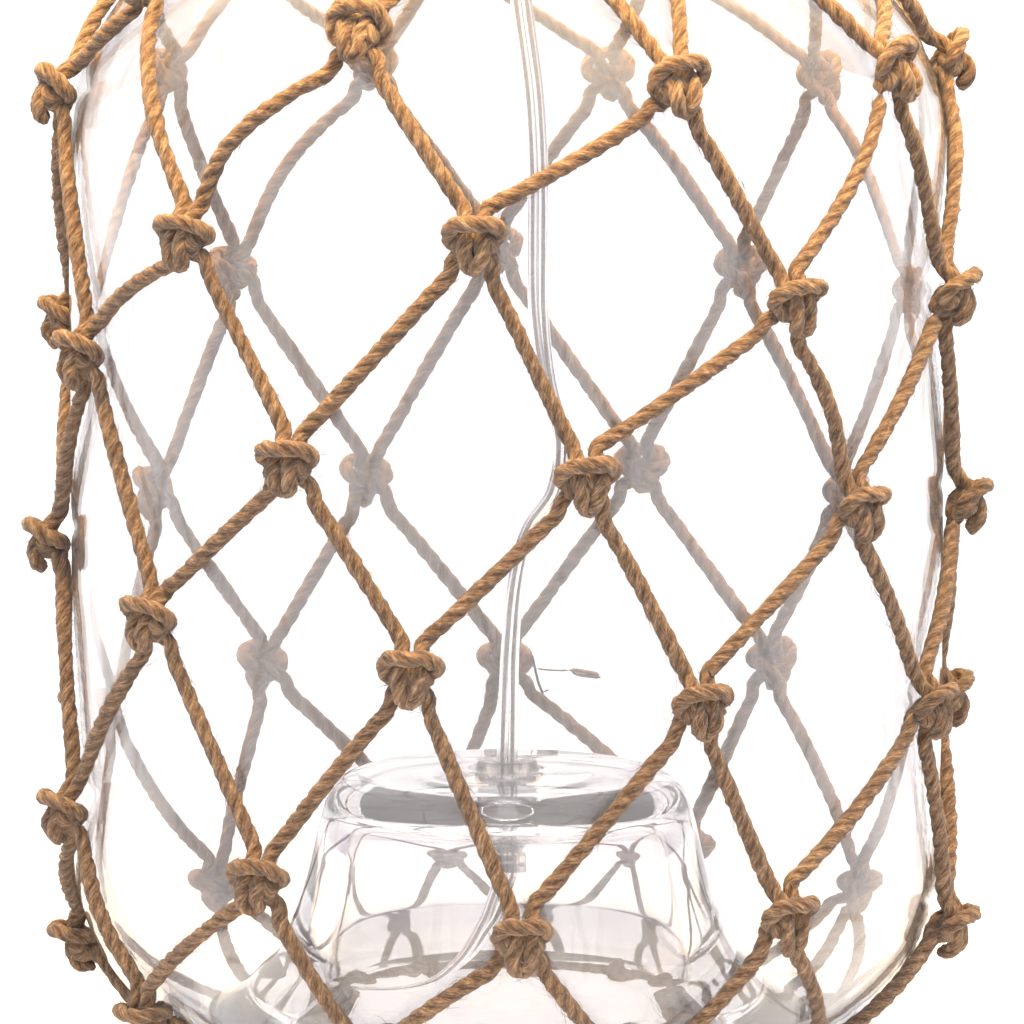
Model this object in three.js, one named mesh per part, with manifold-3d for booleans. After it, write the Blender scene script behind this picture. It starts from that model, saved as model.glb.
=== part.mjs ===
// Netted glass jar lamp. A clear glass jar with a raised punt stands inside a knotted jute net. The flat
// clear flex comes down inside the jar from the lampholder on its neck, and leaves through the punt.
//
// Millimetres, +Z up, origin on the table under the jar's axis. -Y is the front. An angle round the jar
// is in degrees from the front, positive towards +X.

import * as THREE from "three";
import { ConvexGeometry } from "three/addons/geometries/ConvexGeometry.js";
import { mergeVertices } from "three/addons/utils/BufferGeometryUtils.js";
import Module from "manifold-3d";

const wasm = await Module();
wasm.setup();

// ---------------------------------------------------------------- driving dimensions

// Jute twine and the gap it keeps to the glass.
const twineRadius = 1.8;
const twineHalf = 1.5;
const twineStandoff = 2.4;
const gap = 0.3;

// Glass jar.
const jarRadius = 100;
const wall = 3;
const footZ = 2 * twineRadius;
const footRadius = 54;
const cornerRound = 46;
const shoulderZ = 210;
const shoulderRound = 56;
const shoulderSweep = 85;
const neckFillet = 8;
const rimZ = 304;
const rimRadius = 45;
const puntZ = 66.8;
const puntThickness = 8.3;
const flexHoleRadius = 5;

// Net: one twine in a spiral of knots. Knots are numbered upwards along the spiral.
const lowestKnot = -30;
const knotsPerRound = 10;
const roundCount = 6;
const knotStepAngle = 37.5;
const knotZeroAngle = 48.8;
const knotZeroZ = 142;
const knotRise = 5;
const crowdedRise = 3;
const crowdedAbove = 22;
const crowdedBelow = -24;
const leanForward = 4.4;
const leanRight = 6.9;
const knotHalf = { across: 5.8, deep: 3.9 };
const knotStandoff = 4.4;
const knotEnd = 4.5;
const knotShoulder = 8.5;
const loopDrop = 11.5;
const loopHalfWidth = 2;
const neckHitchTilt = 1.41;
const endShift = 3.4;
const lastEndShift = 9;

// How far single knots sit from the even spiral: degrees round the jar, millimetres up.
const knotSlack = {
  22: [-3, -5], 21: [0, -7], 20: [2, -9], 18: [0, 4], 16: [-3, 0], 15: [-7, 3], 14: [-9, 6],
  13: [0, 10], 12: [0, -9], 11: [0, 2], 10: [2, -4], 8: [0, -2], 6: [-2, 4], 5: [-1, 2],
  3: [0, 5], 2: [0, -4], 1: [-2, 3], 0: [-2, 1], "-2": [3, -5], "-3": [0, -2], "-4": [1, -4],
  "-6": [0, 2], "-7": [1, 1], "-8": [0, 4], "-9": [-3, 5], "-10": [0, 4], "-12": [2, 0],
  "-13": [4, -4], "-14": [2, 0], "-16": [0, -5], "-17": [3, -1], "-18": [-2, -1], "-19": [-6, 8],
  "-21": [4, -3], "-24": [-2, -3],
};

// Rope rings and binding.
const neckRingRadius = 49.5;
const neckRingZ = 268;
const bindingRadius = 43.9;
const bindingZ = 272.6;
const bindingTurns = 5;
const bindingPitch = 3.6;
const baseRingRadius = 43;
const baseRingZ = 5;
const hitchHalf = { across: 3, deep: 2.6 };
const footTwineHalf = 1.65;
const pressedLength = 12;
const hitchHalfAngle = 5;
const hitchTaperAngle = 12;
const footLoopEndRadius = 51.2;

// Neck cap and lampholder, each measured up from the jar's rim or from the one below it.
const seatThickness = 2;
const capPlate = 2;
const capRadius = 47.8;
const capCrownZ = rimZ + 7;
const screwZ = rimZ - 7.8;
const nippleRadius = 5;
const nippleBore = 3.3;
const holderZ = capCrownZ + 0.4;
const holderRadius = 19.5;
const holderSeamZ = holderZ + 28.6;
const holderTopZ = holderSeamZ + 34;
const shadeSeatZ = holderSeamZ + 5.6;
const shadeRingZ = shadeSeatZ + 6;
const switchZ = holderZ + 21.6;
const switchTravel = 6;
const blockZ = holderSeamZ + 1;
const blockThickness = 7;

// Bulb.
const bulbTipZ = blockZ + blockThickness + 2.4;
const bulbBaseZ = bulbTipZ + 3;
const bulbBaseRadius = 13.2;
const bulbCentreZ = bulbTipZ + 74;
const bulbRadius = 30;

// Flex: flat twin, 5 by 2.6 mm.
const flexHalfWidth = 2.5;
const flexHalfThickness = 1.3;
const bushTopZ = puntZ + 2.8;
const bushBottomZ = bushTopZ - 20;
const clampTopZ = 49.2;
const clampHeight = 5.5;
const clampWidth = 8.6;
const tableFlexZ = 1.7;

// The coil of spare flex, left of the jar, and the plug beside it.
const coilCentre = [-160, -33];
const coilBottomZ = 1.3;
const coilInner = 15.3;
const coilOuter = 40.7;
const coilEdge = 2.5;
const coilHeight = 10;
const tieThickness = 0.8;
const tieLength = 6;
const tieAngle = -50;
const plugX = coilCentre[0] - 35.5;
const plugZ = 7.2;
const plugReliefY = -60.5;
const plugBodyY = plugReliefY - 20.3;
const plugBodyLength = 27;
const plugPinLength = 19;
const plugPinSpacing = 18.6;

// ---------------------------------------------------------------- materials

const material = (color, roughness, metalness, opacity = 1) =>
  new THREE.MeshStandardMaterial({ color, roughness, metalness, opacity, transparent: opacity < 1 });

const glass = material(0xe4ecec, 0.03, 0, 0.35);
const jute = material(0xa57850, 0.95, 0);
const clearPlastic = material(0xd7dad8, 0.25, 0, 0.6);
const brass = material(0xa98547, 0.35, 1);
const steel = material(0xb4b4b2, 0.35, 1);
const rubber = material(0x2a2927, 0.8, 0);
const blackPlastic = material(0x1d1c1b, 0.45, 0);
const porcelain = material(0xe6e2d8, 0.3, 0);
const glow = material(0xffc36a, 0.5, 0);

// ---------------------------------------------------------------- solids

const lamp = new THREE.Group();

function toSolid(geometry) {
  const plain = geometry.clone();
  plain.deleteAttribute("normal");
  plain.deleteAttribute("uv");
  const merged = mergeVertices(plain, 1e-4);
  return new wasm.Manifold(new wasm.Mesh({
    numProp: 3,
    vertProperties: new Float32Array(merged.attributes.position.array),
    triVerts: new Uint32Array(merged.index.array),
  }));
}

function toGeometry(solid) {
  const mesh = solid.getMesh();
  const geometry = new THREE.BufferGeometry();
  geometry.setAttribute("position", new THREE.BufferAttribute(mesh.vertProperties, 3));
  geometry.setIndex(new THREE.BufferAttribute(mesh.triVerts, 1));
  return geometry;
}

const join = (solids) => solids.reduce((whole, piece) => whole.add(piece));

function add(name, solid, look) {
  const mesh = new THREE.Mesh(toGeometry(solid), look);
  mesh.name = name;
  lamp.add(mesh);
}

// A turned solid from (radius, height) pairs, outer side first going up.
function turned(profile, segments) {
  const closed = [...profile, profile[0]].map(([radius, z]) => new THREE.Vector2(radius, z));
  return toSolid(new THREE.LatheGeometry(closed, segments).rotateX(Math.PI / 2));
}

// A solid disc or pin, whose profile runs from axis to axis.
function turnedPin(profile, segments) {
  const points = profile.map(([radius, z]) => new THREE.Vector2(radius, z));
  return toSolid(new THREE.LatheGeometry(points, segments).rotateX(Math.PI / 2));
}

// The flex's flat section, with its width along the first or the second axis.
function flexSection(wideFirst) {
  const [w, t] = [flexHalfWidth, flexHalfThickness];
  const corners = [[w, 0.5 * t], [0.7 * w, t], [-0.7 * w, t], [-w, 0.5 * t],
    [-w, -0.5 * t], [-0.7 * w, -t], [0.7 * w, -t], [w, -0.5 * t]];
  const placed = wideFirst ? corners : corners.map(([a, b]) => [-b, a]);
  return new THREE.Shape(placed.map(([a, b]) => new THREE.Vector2(a, b)));
}

function swept(section, points, steps) {
  const path = new THREE.CatmullRomCurve3(points.map((p) => new THREE.Vector3(...p)));
  return toSolid(new THREE.ExtrudeGeometry(section, { steps, bevelEnabled: false, extrudePath: path }));
}

// An arc of (radius, height) points about a centre, between two angles in degrees.
function arc(centre, radius, from, to, steps) {
  return Array.from({ length: steps + 1 }, (_, i) => {
    const angle = THREE.MathUtils.degToRad(from + ((to - from) * i) / steps);
    return [centre[0] + radius * Math.cos(angle), centre[1] + radius * Math.sin(angle)];
  });
}

// ---------------------------------------------------------------- glass jar

const shoulderCentre = [jarRadius - shoulderRound, shoulderZ];
const cornerCentre = [footRadius, footZ + cornerRound];

// The shoulder arc runs into the neck by a hollow fillet on the shoulder's own normal.
const shoulderEnd = THREE.MathUtils.degToRad(shoulderSweep);
const filletCentre = [
  shoulderCentre[0] + (shoulderRound + neckFillet) * Math.cos(shoulderEnd),
  shoulderCentre[1] + (shoulderRound + neckFillet) * Math.sin(shoulderEnd),
];
const neckRadius = filletCentre[0] - neckFillet;

function glassJar() {
  const outside = [
    ...arc(cornerCentre, cornerRound, -90, 0, 6),
    ...arc(shoulderCentre, shoulderRound, 0, shoulderSweep, 6),
    ...arc(filletCentre, neckFillet, 180 + shoulderSweep, 180, 2),
  ];
  const rim = [
    [neckRadius, rimZ - 6], [rimRadius, rimZ - 4.5], [rimRadius, rimZ - 1.5], [rimRadius - 2, rimZ],
    [neckRadius - 1.5, rimZ], [neckRadius - wall, rimZ - 1.5],
  ];
  const inside = [
    ...arc(filletCentre, neckFillet + wall, 180, 180 + shoulderSweep, 2),
    ...arc(shoulderCentre, shoulderRound - wall, shoulderSweep, 0, 5).slice(1),
    ...arc(cornerCentre, cornerRound - wall, 0, -68, 4),
  ];
  const puntOutside = [
    [65, 13], [61, 16.2], [57, 21], [53.5, 24.5], [51, 29.5], [48.5, 36.4], [46, 44.6],
    [43, 57.4], [41.5, 61.5], [38.5, 65.2], [34.7, puntZ], [flexHoleRadius, puntZ],
  ];
  const roofZ = puntZ - puntThickness;
  const puntInside = [
    [flexHoleRadius, roofZ], [30, roofZ], [34.5, roofZ - 2], [36.5, roofZ - 6.5], [38.5, 42],
    [41, 30], [43.5, 20], [46.5, 11], [49.5, 7],
  ];
  return turned([...outside, ...rim, ...inside, ...puntOutside, ...puntInside], 24);
}

add("glass_jar", glassJar(), glass);

// ---------------------------------------------------------------- net

// A point standing off the glass, from the angle round the jar and the distance up along the glass from
// the height knotZeroZ, with the glass's outward direction there. The line goes up the wall and over the
// shoulder, or down, round the foot and in under it.
function onGlass(angle, along, standoff) {
  const overShoulder = along - (shoulderZ - knotZeroZ);
  const roundFoot = -along - (knotZeroZ - cornerCentre[1]);
  let radius = jarRadius + standoff;
  let z = knotZeroZ + along;
  let tilt = 0;
  if (overShoulder > 0) {
    tilt = overShoulder / (shoulderRound + standoff);
    radius = shoulderCentre[0] + (shoulderRound + standoff) * Math.cos(tilt);
    z = shoulderZ + (shoulderRound + standoff) * Math.sin(tilt);
  }
  if (roundFoot > 0) {
    const quarter = (Math.PI / 2) * (cornerRound + standoff);
    tilt = -Math.min(roundFoot, quarter) / (cornerRound + standoff);
    radius = cornerCentre[0] + (cornerRound + standoff) * Math.cos(tilt) - Math.max(0, roundFoot - quarter);
    z = cornerCentre[1] + (cornerRound + standoff) * Math.sin(tilt);
  }
  const turn = THREE.MathUtils.degToRad(angle);
  const spin = (out, up) => new THREE.Vector3(out * Math.sin(turn), -out * Math.cos(turn), up);
  return { point: spin(radius, z), outward: spin(Math.cos(tilt), Math.sin(tilt)) };
}

// Where knot number n sits: its angle, and its distance along the glass.
function knotPlace(n) {
  const evenAngle = knotZeroAngle - knotStepAngle * n;
  const turn = THREE.MathUtils.degToRad(evenAngle);
  const above = Math.max(0, n - crowdedAbove);
  const below = Math.min(0, n - crowdedBelow);
  const rise = knotRise * (n - above - below) + crowdedRise * (above + below);
  const [slackAngle, slackUp] = knotSlack[n] ?? [0, 0];
  return {
    angle: evenAngle + slackAngle,
    along: rise - leanForward * Math.cos(turn) - leanRight * Math.sin(turn) + slackUp,
  };
}

// One closed skin over a row of four-cornered sections, mitred where the row bends. Each station has its
// point, the outward direction there, and half its size across and deep. A loop joins its last to its first.
function skinOver(stations, loop = false) {
  const count = stations.length;
  const near = (i) => stations[loop ? (i + count) % count : Math.min(Math.max(i, 0), count - 1)].point;
  const step = (from, to) => new THREE.Vector3().subVectors(to, from).normalize();
  const positions = stations.flatMap(({ point, outward, across, deep }, i) => {
    const into = step(near(i - 1), point);
    const away = step(point, near(i + 1));
    const forward = new THREE.Vector3().addVectors(into, away).normalize();
    const side = new THREE.Vector3().crossVectors(forward, outward).normalize();
    const out = new THREE.Vector3().crossVectors(side, forward);
    const mitre = 1 / Math.max(0.6, forward.dot(into.lengthSq() > 0 ? into : away));
    return [[1, 1], [-1, 1], [-1, -1], [1, -1]].flatMap(([a, b]) =>
      point.clone().addScaledVector(side, a * across * mitre).addScaledVector(out, b * deep).toArray());
  });
  const faces = [];
  for (let i = 0; i < (loop ? count : count - 1); i += 1) {
    const next = (i + 1) % count;
    for (let corner = 0; corner < 4; corner += 1) {
      const beside = (corner + 1) % 4;
      const [a, b, c, d] = [4 * i + corner, 4 * i + beside, 4 * next + beside, 4 * next + corner];
      faces.push(a, c, b, a, d, c);
    }
  }
  if (!loop) {
    const last = 4 * (count - 1);
    faces.push(0, 1, 2, 0, 2, 3, last, last + 2, last + 1, last, last + 3, last + 2);
  }
  const geometry = new THREE.BufferGeometry();
  geometry.setAttribute("position", new THREE.Float32BufferAttribute(positions, 3));
  geometry.setIndex(faces);
  return toSolid(geometry);
}

// Stations of plain twine, of a knot, and of the blunt turn where a loop comes to its end.
const twineStation = ({ angle, along }) =>
  ({ ...onGlass(angle, along, twineStandoff), across: twineHalf, deep: twineHalf });

const besideBy = ({ angle, along }, sideways, up = 0) => {
  const radius = Math.hypot(...onGlass(angle, along, 0).point.toArray().slice(0, 2));
  return { angle: angle + THREE.MathUtils.radToDeg(sideways / radius), along: along + up };
};

const knotStations = (place) => [
  twineStation(besideBy(place, -knotShoulder, knotShoulder)),
  ...[-knotEnd, knotEnd].map((sideways) => {
    const { angle, along } = besideBy(place, sideways);
    return { ...onGlass(angle, along, knotStandoff), ...knotHalf };
  }),
  twineStation(besideBy(place, knotShoulder, knotShoulder)),
];

const turnStations = (place) =>
  [-loopHalfWidth, loopHalfWidth].map((sideways) => twineStation(besideBy(place, sideways)));

// Places shared out evenly between two, the short way round and without the ends.
function between(from, to, count) {
  const shortTurn = ((((to.angle - from.angle) % 360) + 540) % 360) - 180;
  return Array.from({ length: count }, (_, i) => {
    const share = (i + 1) / (count + 1);
    return { angle: from.angle + shortTurn * share, along: from.along + (to.along - from.along) * share };
  });
}

// The loop hanging under a knot, where two strands of the next round meet.
function loopUnder(n) {
  const knot = knotPlace(n);
  return { angle: knot.angle, along: knot.along - loopDrop };
}

// The angle halfway between knot n and its right-hand neighbour in a closed round that ends at knot first.
function halfwayRight(n, first) {
  const left = knotPlace(n).angle;
  const right = n === first ? knotPlace(first + knotsPerRound - 1).angle + 360 : knotPlace(n - 1).angle;
  return (left + right) / 2;
}

// A round is a zigzag: a knot, up to a loop, down to the next knot. The first round hangs from hitches on
// the neck ring and is closed. Each later one hangs from the loops of the one above, and its two ends stop
// short of each other under one knot, where the spiral goes on.
function netRound(round) {
  const first = lowestKnot + knotsPerRound * (roundCount - round);
  const last = first + knotsPerRound - 1;
  const hitchAlong = shoulderZ - knotZeroZ + neckHitchTilt * (shoulderRound + twineStandoff);
  const closed = round === 1;
  const rightShift = round === roundCount ? lastEndShift : endShift;
  const upperRight = (n) => (closed
    ? { angle: halfwayRight(n > last ? first : n, first), along: hitchAlong }
    : loopUnder(n + knotsPerRound - 1));
  const stations = [];
  for (let n = last; n >= first; n -= 1) {
    const knot = knotPlace(n);
    const left = n === last && !closed ? besideBy(upperRight(n + 1), endShift) : upperRight(n + 1);
    const right = n === first && !closed ? besideBy(upperRight(n), -rightShift) : upperRight(n);
    if (n === last && !closed) stations.push(twineStation(left));
    const upLeft = besideBy(knot, -knotShoulder, knotShoulder);
    const upRight = besideBy(knot, knotShoulder, knotShoulder);
    stations.push(...between(left, upLeft, 2).map(twineStation), ...knotStations(knot));
    stations.push(...between(upRight, right, 2).map(twineStation));
    stations.push(...(n === first && !closed ? [twineStation(right)] : turnStations(right)));
  }
  return skinOver(stations, closed);
}

for (let round = 1; round <= roundCount; round += 1) {
  add(`net_round_${round}`, netRound(round), jute);
}

// Under the jar the last loops run in to hitches on the base ring. The twine there is pressed flat between
// the glass and the table, and the lamp stands on it.
const footAlong = -(knotZeroZ - cornerCentre[1]) - (Math.PI / 2) * (cornerRound + twineStandoff);
const topOfLastRound = lowestKnot + knotsPerRound - 1;
const baseHitch = (n) => ({
  angle: halfwayRight(n > topOfLastRound ? lowestKnot : n, lowestKnot),
  along: footAlong - (footRadius - footLoopEndRadius),
});

function netFoot() {
  const press = (station, along) => {
    if (along > footAlong + pressedLength) return station;
    station.point.z = footTwineHalf;
    return { ...station, deep: footTwineHalf, outward: new THREE.Vector3(0, 0, -1) };
  };
  const pressed = (place) => press(twineStation(place), place.along);
  const stations = [];
  for (let i = 0; i < knotsPerRound; i += 1) {
    const n = topOfLastRound - i;
    const top = loopUnder(n);
    stations.push(...between(baseHitch(n + 1), top, 4).map(pressed), ...turnStations(top));
    stations.push(...between(top, baseHitch(n), 4).map(pressed));
    stations.push(...turnStations(baseHitch(n)).map((station) => press(station, baseHitch(n).along)));
  }
  return skinOver(stations, true);
}

function baseRing() {
  const stations = [];
  for (let i = 0; i < knotsPerRound; i += 1) {
    const n = topOfLastRound - i;
    const { angle } = baseHitch(n);
    [-hitchTaperAngle, -hitchHalfAngle, hitchHalfAngle, hitchTaperAngle].forEach((offset) => {
      const turn = THREE.MathUtils.degToRad(angle + offset);
      const [x, y] = [baseRingRadius * Math.sin(turn), -baseRingRadius * Math.cos(turn)];
      const half = Math.abs(offset) === hitchHalfAngle ? hitchHalf : { across: twineHalf, deep: twineHalf };
      stations.push({
        point: new THREE.Vector3(x, y, baseRingZ),
        outward: new THREE.Vector3(0, 0, 1),
        ...half,
      });
    });
  }
  return skinOver(stations, true);
}

function ropeRing(radius, z, segments) {
  return turned(arc([radius, z], twineRadius, -90, 198, 4), segments);
}

function neckBinding() {
  const outer = [];
  for (let turn = 0; turn < bindingTurns; turn += 1) {
    outer.push(...arc([bindingRadius, bindingZ + turn * bindingPitch], twineRadius, -60, 60, 2));
  }
  const inner = bindingRadius - twineHalf;
  const topZ = bindingZ + (bindingTurns - 1) * bindingPitch + twineRadius;
  return turned([...outer, [inner, topZ], [inner, bindingZ]], 24);
}

add("net_foot", netFoot(), jute);
add("base_ring", baseRing(), jute);
add("neck_ring", ropeRing(neckRingRadius, neckRingZ, 24), jute);
add("neck_binding", neckBinding(), jute);

// ---------------------------------------------------------------- neck cap

const seatZ = rimZ + gap;
const capUnderZ = seatZ + seatThickness + gap;
const nutZ = capCrownZ - capPlate - 6;

add("seat_ring", turned([
  [44, seatZ], [44, seatZ + seatThickness], [36, seatZ + seatThickness], [36, seatZ],
], 24), rubber);

const screwAngles = [60, 180, 300];

// Turns a piece built pointing up +Z so that it points out from the axis.
function pointOut(solidGeometry, angle) {
  return solidGeometry.rotateX(Math.PI / 2).rotateZ(THREE.MathUtils.degToRad(angle)).translate(0, 0, screwZ);
}

function lathePin(profile, segments) {
  return new THREE.LatheGeometry(profile.map(([r, z]) => new THREE.Vector2(r, z)), segments)
    .rotateX(Math.PI / 2);
}

function neckCap() {
  const shell = turned([
    [capRadius, rimZ - 11.2], [capRadius, rimZ], [45, capUnderZ + 0.6], [40, capUnderZ + 2],
    [13, capCrownZ], [nippleRadius + gap, capCrownZ], [nippleRadius + gap, capCrownZ - capPlate],
    [13, capCrownZ - capPlate], [36, capUnderZ], [44.5, capUnderZ], [46, rimZ - 0.5],
    [46, rimZ - 11.2],
  ], 24);
  const holes = screwAngles.map((angle) =>
    toSolid(pointOut(lathePin([[0, 44], [1.9, 44], [1.9, 50], [0, 50]], 10), angle)));
  return shell.subtract(join(holes));
}

add("neck_cap", neckCap(), brass);
screwAngles.forEach((angle, i) => {
  const screw = lathePin([[0, 42.4], [1.5, 42.4], [1.5, 49], [4.5, 49], [4.5, 54], [0, 54]], 12);
  add(`cap_screw_${i + 1}`, toSolid(pointOut(screw, angle)), brass);
});
add("nipple", turned([
  [nippleRadius, capCrownZ - 11], [nippleRadius, holderZ + 8], [nippleBore, holderZ + 8],
  [nippleBore, capCrownZ - 11],
], 16), brass);
add("cap_washer", turned([
  [9, nutZ + 4.7], [9, nutZ + 5.7], [nippleRadius + gap, nutZ + 5.7], [nippleRadius + gap, nutZ + 4.7],
], 16), steel);
add("locknut", turned([
  [8, nutZ], [8, nutZ + 4.4], [nippleRadius + gap, nutZ + 4.4], [nippleRadius + gap, nutZ],
], 6).subtract(turned([
  [nippleRadius + gap, nutZ - 1], [nippleRadius + gap, nutZ + 6], [1, nutZ + 6], [1, nutZ - 1],
], 16)), brass);

// ---------------------------------------------------------------- lampholder

function holderBase() {
  const cup = turned([
    [12, holderZ], [12, holderZ + 5], [holderRadius, holderZ + 14], [holderRadius, holderSeamZ - 0.4],
    [holderRadius - 1.5, holderSeamZ - 0.4], [holderRadius - 1.5, holderZ + 15], [10.5, holderZ + 6.2],
    [nippleRadius + gap, holderZ + 6.2], [nippleRadius + gap, holderZ],
  ], 24);
  const slot = new THREE.CylinderGeometry(3.4, 3.4, 60, 12).rotateZ(Math.PI / 2).translate(0, 0, switchZ);
  return cup.subtract(toSolid(slot));
}

add("holder_base", holderBase(), blackPlastic);
add("switch_bar", toSolid(
  new THREE.CylinderGeometry(3, 3, 50, 12).rotateZ(Math.PI / 2).translate(-switchTravel / 2, 0, switchZ),
), brass);
add("terminal_block", turnedPin([
  [0, blockZ], [16.5, blockZ], [16.5, blockZ + blockThickness], [0, blockZ + blockThickness],
], 20), porcelain);
add("centre_contact", toSolid(
  new THREE.BoxGeometry(8, 4, 1.2).translate(0, 0, blockZ + blockThickness + 1),
), brass);
add("screw_shell", turned([
  [14.6, blockZ + blockThickness + gap], [14.6, blockZ + 26], [13.8, blockZ + 26],
  [13.8, blockZ + blockThickness + gap],
], 24), brass);
add("holder_body", turned([
  [holderRadius, holderSeamZ], [holderRadius, shadeSeatZ - 2], [24, shadeSeatZ - 2], [24, shadeSeatZ],
  [holderRadius, shadeSeatZ], [holderRadius, holderTopZ], [15.4, holderTopZ], [15.4, holderTopZ - 2],
  [17.2, holderTopZ - 3], [17.2, holderSeamZ],
], 24), blackPlastic);
add("shade_ring", turned([
  [24, shadeRingZ], [24, shadeRingZ + 2], [21.6, shadeRingZ + 2.5], [21.6, shadeRingZ + 8],
  [holderRadius + 0.5, shadeRingZ + 8], [holderRadius + 0.5, shadeRingZ],
], 24), blackPlastic);

// ---------------------------------------------------------------- bulb

add("bulb_contact", turnedPin([
  [0, bulbTipZ], [3, bulbTipZ], [4.6, bulbTipZ + 1.5], [4.6, bulbBaseZ + 4], [0, bulbBaseZ + 4],
], 12), steel);
add("bulb_base", turned([
  [10, bulbBaseZ], [bulbBaseRadius, bulbBaseZ + 3.6], [bulbBaseRadius, bulbBaseZ + 24],
  [bulbBaseRadius - 0.8, bulbBaseZ + 24], [bulbBaseRadius - 0.8, bulbBaseZ + 4.2], [9.6, bulbBaseZ + 1],
  [5, bulbBaseZ + 1], [5, bulbBaseZ],
], 20), steel);

function bulbGlass() {
  const skin = (offset) => [
    [12 - offset, bulbBaseZ + 16], [12 - offset, bulbBaseZ + 25], [14 - offset, bulbBaseZ + 33],
    [20 - offset, bulbBaseZ + 44], ...arc([0, bulbCentreZ], bulbRadius - offset, -30, 90, 5),
  ];
  return toSolid(new THREE.LatheGeometry(
    [...skin(0), ...skin(1).reverse(), skin(0)[0]].map(([r, z]) => new THREE.Vector2(Math.max(r, 0), z)),
    16,
  ).rotateX(Math.PI / 2));
}

add("bulb_glass", bulbGlass(), glass);
add("bulb_stem", turnedPin([
  [0, bulbBaseZ + 12], [5, bulbBaseZ + 12], [3, bulbBaseZ + 24], [2, bulbBaseZ + 40],
  [0, bulbBaseZ + 40],
], 10), glass);

// Four filament sticks stand round the stem between a foot ring and a top hub.
function bulbFilament() {
  const footFilamentZ = bulbBaseZ + 44;
  const hubZ = bulbCentreZ + 14;
  const rod = new THREE.CylinderGeometry(0.9, 0.9, hubZ - footFilamentZ, 6).rotateX(Math.PI / 2);
  const sticks = [0, 1, 2, 3].map((i) => toSolid(rod.clone()
    .rotateX(-0.12)
    .translate(0, -8, (hubZ + footFilamentZ) / 2)
    .rotateZ((i * Math.PI) / 2)));
  const hub = turnedPin([[0, hubZ - 2.5], [7, hubZ - 2.5], [7, hubZ - 1], [0, hubZ - 1]], 12);
  const foot = turned([
    [12.5, footFilamentZ], [12.5, footFilamentZ + 1.5], [9, footFilamentZ + 1.5], [9, footFilamentZ],
  ], 12);
  return join([...sticks, hub, foot]);
}

add("bulb_filament", bulbFilament(), glow);

// ---------------------------------------------------------------- flex through the jar

// The bush lines the hole in the punt and tapers down the flex under it.
add("exit_bush", turned([
  [3.6, bushBottomZ], [5, puntZ - puntThickness - 3], [7.2, puntZ - puntThickness - 2],
  [7.2, puntZ - puntThickness - gap], [flexHoleRadius - gap, puntZ - puntThickness - gap],
  [flexHoleRadius - gap, puntZ + gap], [7.6, puntZ + gap], [6.8, bushTopZ], [2.85, bushTopZ],
  [2.85, bushBottomZ],
], 16), clearPlastic);

function flexClamp() {
  const z = clampTopZ - clampHeight / 2;
  const block = toSolid(new THREE.BoxGeometry(clampWidth, clampWidth, clampHeight).translate(0, 0, z));
  const slot = new THREE.BoxGeometry(2 * (flexHalfWidth + gap), 2 * (flexHalfWidth + gap), 20);
  return block.subtract(toSolid(slot.translate(0, 0, z)));
}

add("flex_clamp", flexClamp(), clearPlastic);

const clampMiddleZ = clampTopZ - clampHeight / 2;
const insideRoute = [
  [0, 8.5, blockZ - 0.5], [0, 8.5, switchZ + 4], [0, 7.4, switchZ - 2.5], [0, 3.2, holderZ + 14],
  [0, 0, holderZ + 9], [0, 0, capCrownZ - 2], [0, 0, 292], [1.2, 0.5, 262], [3.4, 1, 243],
  [6, 1.5, 223], [7, 1, 203], [7, 0, 188], [7.2, -1, 173], [9.2, -1.5, 157], [12.4, -1.5, 144],
  [10.8, -1, 132], [5.2, -0.5, 123.5], [2.2, 0, 112], [0.7, 0, 96], [0.2, 0, 80], [0, 0, bushTopZ],
  [0, 0, 60], [0, 0, clampMiddleZ + 0.2],
];
const tailRoute = [
  [0, 0, clampMiddleZ - 0.2], [0, 0, clampTopZ - clampHeight - 1], [-1.6, 0.1, 38.5], [-5.6, 0.5, 29],
  [-12, 1.4, 19.5], [-21, 2.5, 10.5], [-32, 3.6, 4], [-44, 4.4, tableFlexZ], [-58, 5, tableFlexZ],
  [-80, 5.4, tableFlexZ], [-104, 5.2, tableFlexZ], [-124, 5, tableFlexZ], [-140.2, 5, tableFlexZ],
];
add("flex_inside", swept(flexSection(false), insideRoute, 36), clearPlastic);
add("flex_tail", swept(flexSection(true), tailRoute, 26), clearPlastic);

// ---------------------------------------------------------------- coil and plug

function coil() {
  const [low, high] = [coilBottomZ, coilBottomZ + coilHeight];
  const middle = (low + high) / 2;
  return turned([
    [coilOuter, low], [coilOuter, middle], [coilOuter - coilEdge, high], [coilInner + coilEdge, high],
    [coilInner, middle], [coilInner, low],
  ], 24).translate([...coilCentre, 0]);
}

function coilTie() {
  const clear = 0.7;
  const [width, height] = [coilOuter - coilInner + 2 * clear, coilHeight + 2 * gap];
  const shape = new THREE.Shape([
    [-width / 2 - tieThickness, -tieThickness], [width / 2 + tieThickness, -tieThickness],
    [width / 2 + tieThickness, height + tieThickness], [-width / 2 - tieThickness, height + tieThickness],
  ].map(([x, y]) => new THREE.Vector2(x, y)));
  shape.holes.push(new THREE.Path([
    [-width / 2, 0], [-width / 2, height], [width / 2, height], [width / 2, 0],
  ].map(([x, y]) => new THREE.Vector2(x, y))));
  return toSolid(new THREE.ExtrudeGeometry(shape, { depth: tieLength, bevelEnabled: false })
    .rotateX(Math.PI / 2)
    .translate((coilInner + coilOuter) / 2, tieLength / 2, coilBottomZ - gap)
    .rotateZ(THREE.MathUtils.degToRad(tieAngle))
    .translate(...coilCentre, 0));
}

add("flex_coil", coil(), clearPlastic);
add("coil_tie", coilTie(), blackPlastic);

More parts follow.
